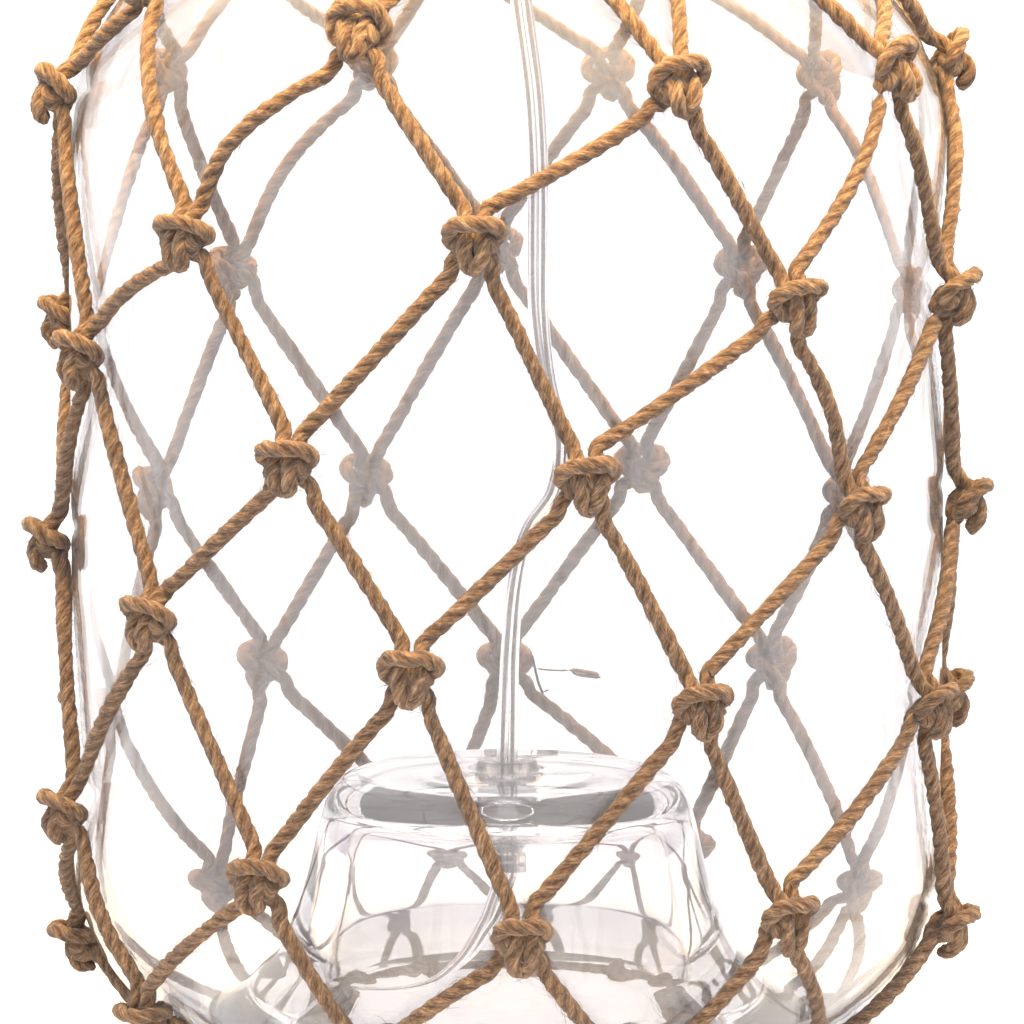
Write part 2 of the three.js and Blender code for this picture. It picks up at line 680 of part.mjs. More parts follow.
// A bulging solid along Y with eight-sided sections: each station is [y, half width, half height].
function loftAlongY(stations, [centreX, centreZ]) {
  const points = stations.flatMap(([y, halfWidth, halfHeight]) =>
    [[1, 0.5], [0.7, 1], [-0.7, 1], [-1, 0.5], [-1, -0.5], [-0.7, -1], [0.7, -1], [1, -0.5]]
      .map(([a, b]) => new THREE.Vector3(centreX + a * halfWidth, y, centreZ + b * halfHeight)));
  return toSolid(new ConvexGeometry(points));
}

const plugCentre = [plugX, plugZ];
add("flex_end", swept(flexSection(false), [
  [plugX, coilCentre[1] - 23.4, plugZ], [plugX, coilCentre[1] - 25, plugZ],
  [plugX, plugReliefY + 2, plugZ], [plugX, plugReliefY + gap, plugZ],
], 5), clearPlastic);
add("plug_relief", loftAlongY([
  [plugReliefY, 3.6, 2.6], [plugReliefY - 20, 6.5, 5],
], plugCentre), clearPlastic);
add("plug_body", loftAlongY([
  [plugBodyY, 8, 5.6], [plugBodyY - 6, 11.5, 6.7], [plugBodyY - 12, 13, 6.8],
  [plugBodyY - plugBodyLength, 13, 6.8],
], plugCentre), clearPlastic);
[-1, 1].forEach((side) => {
  const pinY = plugBodyY - plugBodyLength - gap;
  const pin = lathePin([[0, 0], [2, 0], [2, plugPinLength - 2], [1, plugPinLength], [0, plugPinLength]], 10)
    .rotateX(Math.PI / 2)
    .translate(plugX + (side * plugPinSpacing) / 2, pinY, plugZ);
  add(side < 0 ? "plug_pin_left" : "plug_pin_right", toSolid(pin), steel);
});

export default lamp;
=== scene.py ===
"""Netted glass jar lamp: the looks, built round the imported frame.

Shapes are worked out in millimetres and made in metres, in the frame's own axes: +Z up, the origin on the
table under the jar's axis, -Y the front. An angle round the jar is in degrees from the front towards +X.
"""

import math

import bpy
import numpy as np
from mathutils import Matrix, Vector


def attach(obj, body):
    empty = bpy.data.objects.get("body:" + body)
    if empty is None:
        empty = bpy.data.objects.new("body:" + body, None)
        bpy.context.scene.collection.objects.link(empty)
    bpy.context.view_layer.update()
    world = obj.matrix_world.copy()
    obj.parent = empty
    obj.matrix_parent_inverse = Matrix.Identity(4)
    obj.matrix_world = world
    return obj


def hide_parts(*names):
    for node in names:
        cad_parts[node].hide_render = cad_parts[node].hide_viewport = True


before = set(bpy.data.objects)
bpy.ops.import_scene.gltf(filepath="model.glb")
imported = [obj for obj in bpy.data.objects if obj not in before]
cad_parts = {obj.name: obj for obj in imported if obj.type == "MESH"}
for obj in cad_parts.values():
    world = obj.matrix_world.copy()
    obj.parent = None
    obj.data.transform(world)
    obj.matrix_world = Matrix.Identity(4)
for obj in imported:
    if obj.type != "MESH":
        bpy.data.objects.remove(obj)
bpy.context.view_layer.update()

MM = 0.001
UP = np.array([0.0, 0.0, 1.0])

# ---------------------------------------------------------------- driving dimensions

# Jute twine.
TWINE_RADIUS = 1.8
TWINE_LAY = 12.5
LUMP_SPACING = 7.0
PLIES = 3
STRAND_OFF = 2.1

# Glass jar.
JAR_RADIUS = 100.0
WALL = 3.0
FOOT_Z = 3.6
FOOT_RADIUS = 54.0
CORNER_ROUND = 46.0
SHOULDER_Z = 210.0
SHOULDER_ROUND = 56.0
SHOULDER_SWEEP = 85.0
NECK_FILLET = 8.0
RIM_Z = 304.0
RIM_RADIUS = 45.0
PUNT_Z = 66.8
PUNT_THICKNESS = 8.3
FLEX_HOLE_RADIUS = 5.0

# Net: one twine in a spiral of knots, numbered upwards.
LOWEST_KNOT = -30
KNOTS_PER_ROUND = 10
ROUND_COUNT = 6
KNOT_STEP_ANGLE = 37.5
KNOT_ZERO_ANGLE = 48.8
KNOT_ZERO_Z = 142.0
KNOT_RISE = 5.0
CROWDED_RISE = 3.0
CROWDED_ABOVE = 22
CROWDED_BELOW = -24
LEAN_FORWARD = 4.4
LEAN_RIGHT = 6.9
NECK_HITCH_TILT = 1.41

# How far single knots sit from the even spiral: degrees round the jar, millimetres up. These are a fit's
# leftover errors, rounded to whole numbers, and they may not belong here.
KNOT_SLACK = {
    22: (-3, -5), 21: (0, -7), 20: (2, -9), 18: (0, 4), 16: (-3, 0), 15: (-7, 3), 14: (-9, 6),
    13: (0, 10), 12: (0, -9), 11: (0, 2), 10: (2, -4), 8: (0, -2), 6: (-2, 4), 5: (-1, 2),
    3: (0, 5), 2: (0, -4), 1: (-2, 3), 0: (-2, 1), -2: (3, -5), -3: (0, -2), -4: (1, -4),
    -6: (0, 2), -7: (1, 1), -8: (0, 4), -9: (-3, 5), -10: (0, 4), -12: (2, 0),
    -13: (4, -4), -14: (2, 0), -16: (0, -5), -17: (3, -1), -18: (-2, -1), -19: (-6, 8),
    -21: (4, -3), -24: (-2, -3),
}

# Slack strands, by the lower and upper knot they join: millimetres that they bow to the right.
STRAND_BOWS = {(12, 21): -6.5, (5, 15): 4.0, (0, 10): 3.0, (15, 24): 3.0, (3, 12): -2.5, (10, 19): 2.0}

# Rope rings and binding.
NECK_RING = (49.5, 268.0)
BINDING_RADIUS = 43.9
BINDING_Z = 272.6
BINDING_TURNS = 5
BINDING_PITCH = 3.6
BASE_RING = (43.0, 5.2)

# Neck cap and lampholder.
CAP_CROWN_Z = RIM_Z + 7
SCREW_Z = RIM_Z - 7.8
NIPPLE_RADIUS = 5.0
NIPPLE_BORE = 3.3
HOLDER_Z = CAP_CROWN_Z + 0.4
HOLDER_RADIUS = 19.5
HOLDER_SEAM_Z = HOLDER_Z + 28.6
HOLDER_TOP_Z = HOLDER_SEAM_Z + 34
SHADE_SEAT_Z = HOLDER_SEAM_Z + 5.6
SHADE_RING_Z = SHADE_SEAT_Z + 6
SWITCH_Z = HOLDER_Z + 21.6
SWITCH_TRAVEL = 6.0
BLOCK_Z = HOLDER_SEAM_Z + 1
BLOCK_THICKNESS = 7.0

# Bulb.
BULB_TIP_Z = BLOCK_Z + BLOCK_THICKNESS + 2.4
BULB_BASE_Z = BULB_TIP_Z + 3
BULB_BASE_RADIUS = 13.2
BULB_CENTRE_Z = BULB_TIP_Z + 74
BULB_RADIUS = 30.0

# Flex: clear flat twin with two stranded cores.
FLEX_WIDTH = 5.0
FLEX_THICKNESS = 2.6
CORE_SPACING = 2.5
CORE_RADIUS = 0.72
BUSH_TOP_Z = PUNT_Z + 2.8
BUSH_BOTTOM_Z = BUSH_TOP_Z - 20
CLAMP_TOP_Z = 49.2
CLAMP_HEIGHT = 5.5
CLAMP_WIDTH = 8.6
TABLE_FLEX_Z = 1.7

# Coil and plug.
COIL_CENTRE = (-160.0, -33.0)
COIL_LAYERS_Z = (3.8, 8.8)
COIL_INNER = 15.3
COIL_OUTER = 40.7
COIL_BOTTOM_Z = 1.3
COIL_HEIGHT = 10.0
TIE_ANGLE = -50.0
TIE_LENGTH = 6.0
TIE_THICKNESS = 0.8
PLUG_X = COIL_CENTRE[0] - 35.5
PLUG_Z = 7.2
PLUG_RELIEF_Y = -60.5
PLUG_BODY_Y = PLUG_RELIEF_Y - 20.3
PLUG_BODY_LENGTH = 27.0
PLUG_PIN_LENGTH = 19.0
PLUG_PIN_SPACING = 18.6

# ---------------------------------------------------------------- camera

CAMERA_DISTANCE = 1280.0
CAMERA_Z = 267.0
AIM = (1.1, 0.0, 127.0)


def make_camera():
    data = bpy.data.cameras.new("camera")
    data.sensor_width = 36.0
    data.lens = 196.9
    data.clip_start = 0.05
    data.clip_end = 50.0
    camera = bpy.data.objects.new("camera", data)
    place = Vector((AIM[0], -CAMERA_DISTANCE, CAMERA_Z)) * MM
    camera.location = place
    camera.rotation_euler = (Vector(AIM) * MM - place).to_track_quat("-Z", "Y").to_euler()
    bpy.context.scene.collection.objects.link(camera)
    bpy.context.scene.camera = camera


make_camera()

# ---------------------------------------------------------------- materials


class Nodes:
    """A short way to write a material's node tree."""

    def __init__(self, name):
        self.material = bpy.data.materials.new(name)
        self.material.use_nodes = True
        self.tree = self.material.node_tree
        self.shader = self.tree.nodes["Principled BSDF"]

    def add(self, kind, **values):
        node = self.tree.nodes.new(kind)
        for key, value in values.items():
            if hasattr(node, key):
                setattr(node, key, value)
            else:
                node.inputs[key.replace("_", " ")].default_value = value
        return node

    def link(self, source, target):
        self.tree.links.new(source, target)

    def set(self, **values):
        for key, value in values.items():
            self.shader.inputs[key.replace("_", " ")].default_value = value
        return self

    def coords(self, kind="Object", scale=(1, 1, 1)):
        """Coordinates in millimetres: the piece's own, or the named attribute's."""
        if kind == "Object":
            source = self.add("ShaderNodeTexCoord").outputs["Object"]
            scale = tuple(s / MM for s in scale)
        else:
            source = self.add("ShaderNodeAttribute", attribute_name=kind).outputs["Vector"]
        mapping = self.add("ShaderNodeMapping")
        mapping.inputs["Scale"].default_value = scale
        self.link(source, mapping.inputs["Vector"])
        return mapping.outputs["Vector"]

    def noise(self, coords, scale, detail=3.0, roughness=0.55):
        node = self.add("ShaderNodeTexNoise", Scale=scale, Detail=detail, Roughness=roughness)
        self.link(coords, node.inputs["Vector"])
        return node.outputs["Fac"]

    def ramp(self, value, stops):
        node = self.add("ShaderNodeValToRGB")
        elements = node.color_ramp.elements
        while len(elements) < len(stops):
            elements.new(0.5)
        for element, (place, colour) in zip(elements, stops):
            element.position = place
            element.color = (*colour, 1) if len(colour) == 3 else colour
        self.link(value, node.inputs["Fac"])
        return node.outputs["Color"]

    def spread(self, value, low, high):
        """value, from 0 to 1, spread from low to high."""
        node = self.add("ShaderNodeMapRange")
        node.inputs["From Min"].default_value = 0.25
        node.inputs["From Max"].default_value = 0.75
        node.inputs["To Min"].default_value = low
        node.inputs["To Max"].default_value = high
        self.link(value, node.inputs["Value"])
        return node.outputs["Result"]

    def mix(self, share, first, second, blend="MIX"):
        node = self.add("ShaderNodeMix", data_type="RGBA", blend_type=blend)
        for socket, value in zip((node.inputs[0], node.inputs[6], node.inputs[7]), (share, first, second)):
            if isinstance(value, (int, float)):
                socket.default_value = value
            elif isinstance(value, tuple):
                socket.default_value = (*value, 1)
            else:
                self.link(value, socket)
        return node.outputs[2]

    def bump(self, height, strength, distance):
        node = self.add("ShaderNodeBump", Strength=strength, Distance=distance * MM)
        self.link(height, node.inputs["Height"])
        self.link(node.outputs["Normal"], self.shader.inputs["Normal"])


def jute_material(name, dark, middle, light):
    """Stiff plant fibre: streaks along the plies, patches of colour, and painted shade that darkens it down
    in the grooves.
    """
    m = Nodes(name)
    streaks = m.noise(m.coords("strand", (1, 1, 0.4)), 1.7, 6.0, 0.72)
    fine = m.noise(m.coords("strand", (1, 1, 0.22)), 7.0, 4.0, 0.7)
    patches = m.noise(m.coords("Object"), 0.22, 4.0, 0.6)
    colour = m.ramp(streaks, [(0.37, dark), (0.5, middle), (0.63, light)])
    tint = m.ramp(patches, [(0.34, (0.72, 0.66, 0.62)), (0.66, (1.15, 1.1, 1.02))])
    colour = m.mix(1.0, colour, tint, "MULTIPLY")
    # Painted shade: the deeper a point lies between the plies (the groove value), the darker its colour is
    # made.
    depth = m.add("ShaderNodeAttribute", attribute_name="groove").outputs["Fac"]
    shade = m.ramp(depth, [(0.0, (1, 1, 1)), (1.0, (0.4, 0.34, 0.3))])
    colour = m.mix(1.0, colour, shade, "MULTIPLY")
    m.link(colour, m.shader.inputs["Base Color"])
    m.bump(m.mix(0.5, streaks, fine), 1.0, 0.5)
    m.set(Roughness=0.92, Sheen_Weight=0.25, Sheen_Roughness=0.6, Specular_IOR_Level=0.2)
    return m.material


def glass_material(name, tint, ior=1.5, roughness=0.0, ripple=0.0, haze=0.0):
    """Clear glass, faintly uneven as blown glass is."""
    m = Nodes(name)
    m.set(Base_Color=(*tint, 1), Roughness=roughness, IOR=ior, Transmission_Weight=1.0 - haze)
    if ripple:
        m.bump(m.noise(m.coords("Object", (1, 1, 0.5)), 0.03, 1.5), ripple, 1.0)
    return m.material


def metal_material(name, colour, roughness, worn, pattern=0.9, metallic=1.0):
    """Machined metal with a little tarnish: rougher and darker in cloudy patches, with fine turning marks."""
    m = Nodes(name)
    cloud = m.noise(m.coords("Object"), 0.25, 4.0)
    marks = m.noise(m.coords("Object", (0.3, 0.3, 6)), pattern, 2.0)
    m.link(m.ramp(cloud, [(0.35, colour), (0.7, worn)]), m.shader.inputs["Base Color"])
    m.link(m.spread(cloud, roughness, roughness + 0.2), m.shader.inputs["Roughness"])
    m.bump(marks, 0.25, 0.05)
    m.set(Metallic=metallic)
    return m.material


def plastic_material(name, colour, other, roughness, grain=0.06):
    """Moulded plastic or rubber with a fine grain and faint handling marks."""
    m = Nodes(name)
    cloud = m.noise(m.coords("Object"), 0.12, 3.0)
    m.link(m.ramp(cloud, [(0.3, colour), (0.75, other)]), m.shader.inputs["Base Color"])
    m.link(m.spread(cloud, roughness - 0.06, roughness + 0.1), m.shader.inputs["Roughness"])
    m.bump(m.noise(m.coords("Object"), 5.0, 3.0), 0.35, grain)
    return m.material


def clear_plastic_material(name, tint, roughness):
    """Soft clear vinyl, slightly cloudy."""
    m = Nodes(name)
    cloud = m.noise(m.coords("Object"), 0.2, 2.0)
    m.link(m.spread(cloud, roughness, roughness + 0.08), m.shader.inputs["Roughness"])
    m.bump(m.noise(m.coords("Object"), 0.8, 2.0), 0.1, 0.1)
    m.set(Base_Color=(*tint, 1), IOR=1.5, Transmission_Weight=1.0, Specular_IOR_Level=0.5)
    return m.material


def glow_material(name, colour, strength):
    """A filament's yellow phosphor coat, glowing a little unevenly."""
    m = Nodes(name)
    cloud = m.noise(m.coords("Object"), 1.5, 2.0)
    glow = m.ramp(cloud, [(0.2, tuple(0.8 * c for c in colour)), (0.8, colour)])
    m.link(glow, m.shader.inputs["Base Color"])
    m.link(glow, m.shader.inputs["Emission Color"])
    m.set(Emission_Strength=strength, Roughness=0.5)
    return m.material


JUTE = jute_material("jute", (0.065, 0.036, 0.02), (0.215, 0.125, 0.068), (0.44, 0.3, 0.185))
BARK = jute_material("bark", (0.02, 0.018, 0.017), (0.045, 0.04, 0.038), (0.1, 0.09, 0.08))
PALE_FIBRE = jute_material("pale_fibre", (0.2, 0.16, 0.15), (0.34, 0.28, 0.26), (0.5, 0.42, 0.4))
JAR_GLASS = glass_material("jar_glass", (1.0, 0.978, 0.982), ripple=0.04, haze=0.045)
BULB_GLASS = glass_material("bulb_glass", (0.95, 0.93, 0.9), ior=1.5, haze=0.02)
CLEAR_VINYL = clear_plastic_material("clear_vinyl", (0.95, 0.945, 0.945), 0.12)
CLEAR_MOULDING = clear_plastic_material("clear_moulding", (0.86, 0.86, 0.855), 0.22)
TINNED_STRAND = metal_material("tinned_strand", (0.4, 0.385, 0.39), 0.75, (0.3, 0.285, 0.29), 2.0, 0.0)
BRASS = metal_material("brass", (0.62, 0.42, 0.18), 0.24, (0.42, 0.28, 0.13))
STEEL = metal_material("steel", (0.6, 0.6, 0.59), 0.22, (0.45, 0.45, 0.44))
RUBBER = plastic_material("rubber", (0.02, 0.02, 0.018), (0.035, 0.034, 0.03), 0.75, 0.12)
BLACK_PLASTIC = plastic_material("black_plastic", (0.012, 0.011, 0.01), (0.028, 0.026, 0.024), 0.38)
PORCELAIN = plastic_material("porcelain", (0.78, 0.75, 0.68), (0.85, 0.83, 0.78), 0.22, 0.03)
GLOW = glow_material("filament_glow", (1.0, 0.5, 0.12), 2.0)

# ---------------------------------------------------------------- meshes


def add_piece(name, shape, material, body="lamp", nodes=(), smooth=38.0):
    """A mesh piece from (points in mm, faces), with whatever vertex values the shape carries."""
    points, faces, *values = shape
    mesh = bpy.data.meshes.new(name)
    mesh.from_pydata((np.asarray(points) * MM).tolist(), [], faces)
    for key, data in (values[0] if values else {}).items():
        vector = data.ndim == 2
        layer = mesh.attributes.new(key, "FLOAT_VECTOR" if vector else "FLOAT", "POINT")
        layer.data.foreach_set("vector" if vector else "value", data.astype(np.float32).ravel())
    mesh.materials.append(material)
    mesh.shade_smooth()
    mesh.set_sharp_from_angle(angle=math.radians(smooth))
    piece = bpy.data.objects.new(name, mesh)
    bpy.context.scene.collection.objects.link(piece)
    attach(piece, body)
    if nodes:
        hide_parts(*nodes)
    return piece


def merged(*shapes):
    """Several shapes as one, with the vertex values that they all carry."""
    points, faces, start = [], [], 0
    values = {key: [] for key in (shapes[0][2] if len(shapes[0]) > 2 else {})}
    for shape in shapes:
        points.append(np.asarray(shape[0], float))
        faces += [tuple(start + corner for corner in face) for face in shape[1]]
        for key in values:
            values[key].append(shape[2][key])
        start += len(shape[0])
    return np.concatenate(points), faces, {key: np.concatenate(v) for key, v in values.items()}


def ring_faces(rows, columns, closed_rows=False):
    """Quads between rows of points, each row a closed ring."""
    faces = []
    for i in range(rows if closed_rows else rows - 1):
        a, b = i * columns, ((i + 1) % rows) * columns
        for j in range(columns):
            k = (j + 1) % columns
            faces.append((a + j, a + k, b + k, b + j))
    return faces


def moved(shape, offset=(0, 0, 0), turn=0.0):
    """A shape turned about +Z by turn degrees, then moved."""
    c, s = math.cos(math.radians(turn)), math.sin(math.radians(turn))
    points = np.asarray(shape[0], float) @ np.array([[c, s, 0], [-s, c, 0], [0, 0, 1]])
    return (points + np.asarray(offset, float), *shape[1:])


def pointing(shape, direction):
    """A shape built up +Z, laid so that +Z points along a direction in the XY plane."""
    x, y = direction
    points = np.asarray(shape[0], float)
    sideways = np.array([-y, x, 0.0])
    along = np.array([x, y, 0.0])
    return (points[:, :1] * sideways + points[:, 1:2] * UP + points[:, 2:] * along, *shape[1:])


def arc(centre, radius, start, stop, steps):
    """(radius, height) points on an arc, between two angles in degrees."""
    angles = np.radians(np.linspace(start, stop, steps + 1))
    return [(centre[0] + radius * math.cos(a), centre[1] + radius * math.sin(a)) for a in angles]


def softened(profile, radius=0.4, steps=3, closed=True):
    """A profile with its corners rounded."""
    points = np.array(profile, float)
    count = len(points)
    soft = []
    for i in range(count):
        if not closed and i in (0, count - 1):
            soft.append(tuple(points[i]))
            continue
        before, here, after = points[i - 1], points[i], points[(i + 1) % count]
        into, away = here - before, after - here
        reach = min(radius, 0.45 * np.linalg.norm(into), 0.45 * np.linalg.norm(away))
        first = here - into / max(np.linalg.norm(into), 1e-9) * reach
        last = here + away / max(np.linalg.norm(away), 1e-9) * reach
        for t in np.linspace(0, 1, steps + 1):
            soft.append(tuple((1 - t) ** 2 * first + 2 * t * (1 - t) * here + t * t * last))
    return soft


def turned(profile, segments=96, closed=True, ripple=None):
    """A turned shape from (radius, height) points, outer side going up. An open profile runs from axis to
    axis. ripple gives a change of radius from the angle in radians and the height."""
    rows = np.array(profile, float)
    if not closed:
        return turned_solid(rows, segments)
    angles = 2 * math.pi * np.arange(segments) / segments
    points = []
    for radius, z in rows:
        out = np.full(segments, radius) + (ripple(angles, z) if ripple else 0.0)
        points.append(np.stack([out * np.sin(angles), -out * np.cos(angles), np.full(segments, z)], 1))
    return np.concatenate(points), ring_faces(len(rows), segments, closed_rows=True)


def turned_solid(rows, segments):
    angles = 2 * math.pi * np.arange(segments) / segments
    points = [np.array([[0, 0, rows[0][1]]])]
    for radius, z in rows[1:-1]:
        points.append(np.stack([radius * np.sin(angles), -radius * np.cos(angles), np.full(segments, z)], 1))
    points.append(np.array([[0, 0, rows[-1][1]]]))
    count = len(rows) - 2
    faces = [tuple(1 + c for c in face) for face in ring_faces(count, segments)]
    last, top = 1 + (count - 1) * segments, 1 + count * segments
    for j in range(segments):
        k = (j + 1) % segments
        faces.append((0, 1 + k, 1 + j))
        faces.append((top, last + j, last + k))
    return np.concatenate(points), faces


def thread(radius, depth, pitch, z_low, z_high, inner, segments=72, steps_per_pitch=10):
    """A turned tube of rounded screw thread, faded out at both ends. Its bore follows the thread."""
    heights = np.linspace(z_low, z_high, max(8, int((z_high - z_low) / pitch * steps_per_pitch)))
    angles = 2 * math.pi * np.arange(segments) / segments
    points = []
    for wall, z in [(radius, z) for z in heights] + [(inner, z) for z in heights[::-1]]:
        ends = max(0.0, min(1.0, (z - z_low) / pitch, (z_high - z) / pitch))
        out = wall + (depth * ends * (0.5 + 0.5 * np.cos(angles - 2 * math.pi * z / pitch)) - depth)
        points.append(np.stack([out * np.sin(angles), -out * np.cos(angles), np.full(segments, z)], 1))
    return np.concatenate(points), ring_faces(2 * len(heights), segments, closed_rows=True)


# ---------------------------------------------------------------- lines and sweeps


def smooth_line(points, step):
    """A smooth curve through points, as points about step apart."""
    points = np.asarray(points, float)
    gaps = np.sqrt(np.linalg.norm(np.diff(points, axis=0), axis=1))
    slopes = np.empty_like(points)
    inner = np.diff(points, axis=0) / gaps[:, None]
    weighted = inner[:-1] * gaps[1:, None] + inner[1:] * gaps[:-1, None]
    slopes[1:-1] = weighted / (gaps[:-1] + gaps[1:])[:, None]
    slopes[0], slopes[-1] = inner[0], inner[-1]
    dense = []
    for i, gap in enumerate(gaps):
        t = np.linspace(0, 1, 24, endpoint=i == len(gaps) - 1)[:, None]
        dense.append(
            (2 * t**3 - 3 * t**2 + 1) * points[i] + (t**3 - 2 * t**2 + t) * gap * slopes[i]
            + (3 * t**2 - 2 * t**3) * points[i + 1] + (t**3 - t**2) * gap * slopes[i + 1]
        )
    dense = np.concatenate(dense)
    along = np.concatenate([[0], np.cumsum(np.linalg.norm(np.diff(dense, axis=0), axis=1))])
    even = np.linspace(0, along[-1], max(3, int(round(along[-1] / step)) + 1))
    return np.stack([np.interp(even, along, dense[:, k]) for k in range(3)], 1)


def lengths_along(line):
    return np.concatenate([[0], np.cumsum(np.linalg.norm(np.diff(line, axis=0), axis=1))])


def tangents(line):
    forward = np.gradient(line, axis=0)
    return forward / np.linalg.norm(forward, axis=1)[:, None]


def carried_frames(line):
    """Side and up directions carried along a line without twist."""
    forward = tangents(line)
    side = np.cross(forward[0], UP if abs(forward[0][2]) < 0.9 else np.array([1.0, 0, 0]))
    sides = []
    for direction in forward:
        side = side - direction * side.dot(direction)
        side = side / np.linalg.norm(side)
        sides.append(side)
    sides = np.array(sides)
    return sides, np.cross(forward, sides)


def swept(line, sides, ups, sections):
    """A closed skin over a line: sections holds each ring's (side, up) offsets."""
    rings = line[:, None] + sections[..., :1] * sides[:, None] + sections[..., 1:] * ups[:, None]
    rows, columns = rings.shape[:2]
    faces = ring_faces(rows, columns)
    faces.append(tuple(range(columns))[::-1])
    faces.append(tuple((rows - 1) * columns + j for j in range(columns)))
    return rings.reshape(-1, 3), [face[::-1] for face in faces]


# ---------------------------------------------------------------- flex

PUNT_EXIT = (0.0, 0.0, CLAMP_TOP_Z - CLAMP_HEIGHT / 2)

# From the lampholder's terminals down inside the jar, in a loose bow, to the clamp under the punt.
INSIDE_ROUTE = [
    (0, 8.5, BLOCK_Z - 0.5), (0, 8.5, SWITCH_Z + 4), (0, 7.4, SWITCH_Z - 2.5), (0, 3.2, HOLDER_Z + 14),
    (0, 0, HOLDER_Z + 9), (0, 0, CAP_CROWN_Z - 2), (0, 0, 292), (1.2, 0.5, 262), (3.4, 1, 243),
    (6, 1.5, 223), (7, 1, 203), (7, 0, 188), (7.2, -1, 173), (9.2, -1.5, 157), (12.4, -1.5, 144),
    (10.8, -1, 132), (5.2, -0.5, 123.5), (2.2, 0, 112), (0.7, 0, 96), (0.2, 0, 80), (0, 0, BUSH_TOP_Z),
    (0, 0, 60), (0, 0, PUNT_EXIT[2] + 0.2),
]

# From the clamp down on to the table and out to the left, as far as the coil.
# Under the punt these points lie up to 3 mm off part.mjs's tailRoute.
TAIL_ROUTE = [
    (0, 0, PUNT_EXIT[2] - 0.2), (0, 0, CLAMP_TOP_Z - CLAMP_HEIGHT - 1), (-1.3, 0.1, 38.5), (-4.5, 0.5, 29),
    (-9.8, 1.3, 19.5), (-17.8, 2.3, 10.8), (-29, 3.4, 4.1), (-44, 4.4, TABLE_FLEX_Z), (-58, 5, TABLE_FLEX_Z),
    (-80, 5.4, TABLE_FLEX_Z), (-104, 5.2, TABLE_FLEX_Z), (-124, 5, TABLE_FLEX_Z), (-140.2, 5, 2.4),
]
COIL_STEPS_PER_TURN = 24
COIL_TURNS = (5, 4.25)
COIL_RADII = ((38.0, 18.0), (20.5, 35.5))


def coil_route():
    """Down the spiral from the outside in, up a layer, and out to where the flex leaves for the plug."""
    low_turns, high_turns = COIL_TURNS
    total = low_turns + high_turns
    points = []
    for i in range(int(total * COIL_STEPS_PER_TURN) + 1):
        turn = i / COIL_STEPS_PER_TURN
        if turn <= low_turns:
            share = turn / low_turns
            start, stop = COIL_RADII[0]
        else:
            share = (turn - low_turns) / high_turns
            start, stop = COIL_RADII[1]
        radius = start + (stop - start) * share
        climb = min(1.0, max(0.0, turn - low_turns + 0.5))
        smooth = climb * climb * (3 - 2 * climb)
        if 0 < climb < 1:
            middle = COIL_RADII[0][1], COIL_RADII[1][0]
            radius = middle[0] + (middle[1] - middle[0]) * smooth
        height = COIL_LAYERS_Z[0] + (COIL_LAYERS_Z[1] - COIL_LAYERS_Z[0]) * smooth
        angle = math.radians(90 + 360 * turn)
        points.append((
            COIL_CENTRE[0] + radius * math.cos(angle), COIL_CENTRE[1] + radius * math.sin(angle), height,
        ))
    return points


FREE_ROUTE = [
    *TAIL_ROUTE, *coil_route(), (PLUG_X, COIL_CENTRE[1] - 12, 8.4), (PLUG_X, PLUG_RELIEF_Y + 4, PLUG_Z),
    (PLUG_X, PLUG_RELIEF_Y - 6, PLUG_Z),
]


def flex_section(count=10):
    """The figure-of-eight section of flat twin flex: two round cores' sheaths side by side."""
    radius = FLEX_THICKNESS / 2
    offset = FLEX_WIDTH / 2 - radius
    waist = math.degrees(math.acos(min(1.0, offset / radius))) * 0.72
    right = [(offset + x, y) for x, y in arc((0, 0), radius, waist - 180, 180 - waist, count)]
    left = [(-x, -y) for x, y in right]
    return np.array(right + left)


def wide_directions(line, keys):
    """The direction of the flex's width at each point of a line, from (share of the length, direction)."""
    along = lengths_along(line)
    share = along / along[-1]
    at = [k[0] for k in keys]
    wide = np.stack([np.interp(share, at, [k[1][axis] for k in keys]) for axis in range(3)], 1)
    forward = tangents(line)
    wide = wide - forward * (wide * forward).sum(1)[:, None]
    wide = wide / np.linalg.norm(wide, axis=1)[:, None]
    return wide, np.cross(forward, wide)


def core_shape(line, sides, ups, offset, twist=9.0, lobes=7):
    """One stranded core beside the flex's middle: a bundle of wires twisted together."""
    along = lengths_along(line)
    angles = 2 * math.pi * np.arange(lobes * 3) / (lobes * 3)
    radii = CORE_RADIUS * (0.9 + 0.1 * np.cos(lobes * angles))
    turn = angles[None] + 2 * math.pi * along[:, None] / twist
    sections = np.stack([offset + radii * np.cos(turn), radii * np.sin(turn)], 2)
    return swept(line, sides, ups, sections)


def make_flex(name, route, keys, step, nodes, core_step):
    """The clear sheath of a flex, with its two cores, along a route. Returns the pieces and the line."""
    line = smooth_line(route, step)
    wide, thin = wide_directions(line, keys)
    sections = np.repeat(flex_section()[None], len(line), 0)
    skin = swept(line, wide, thin, sections)
    skin[0][:, 2] = np.maximum(skin[0][:, 2], 0.02)
    sheath = add_piece(name, skin, CLEAR_VINYL, nodes=nodes)
    fine = smooth_line(route, core_step)
    wide, thin = wide_directions(fine, keys)
    cores = add_piece(
        name + "_cores",
        merged(*[core_shape(fine, wide, thin, side * CORE_SPACING / 2) for side in (-1, 1)]),
        TINNED_STRAND,
    )
    return sheath, cores, line


# ---------------------------------------------------------------- the plug and the coil's tie


def superellipse(half_width, half_height, power=3.0, count=40):
    angles = 2 * math.pi * np.arange(count) / count
    c, s = np.cos(angles), np.sin(angles)
    across = half_width * np.sign(c) * np.abs(c) ** (2 / power)
    upward = half_height * np.sign(s) * np.abs(s) ** (2 / power)
    return np.stack([across, upward], 1)


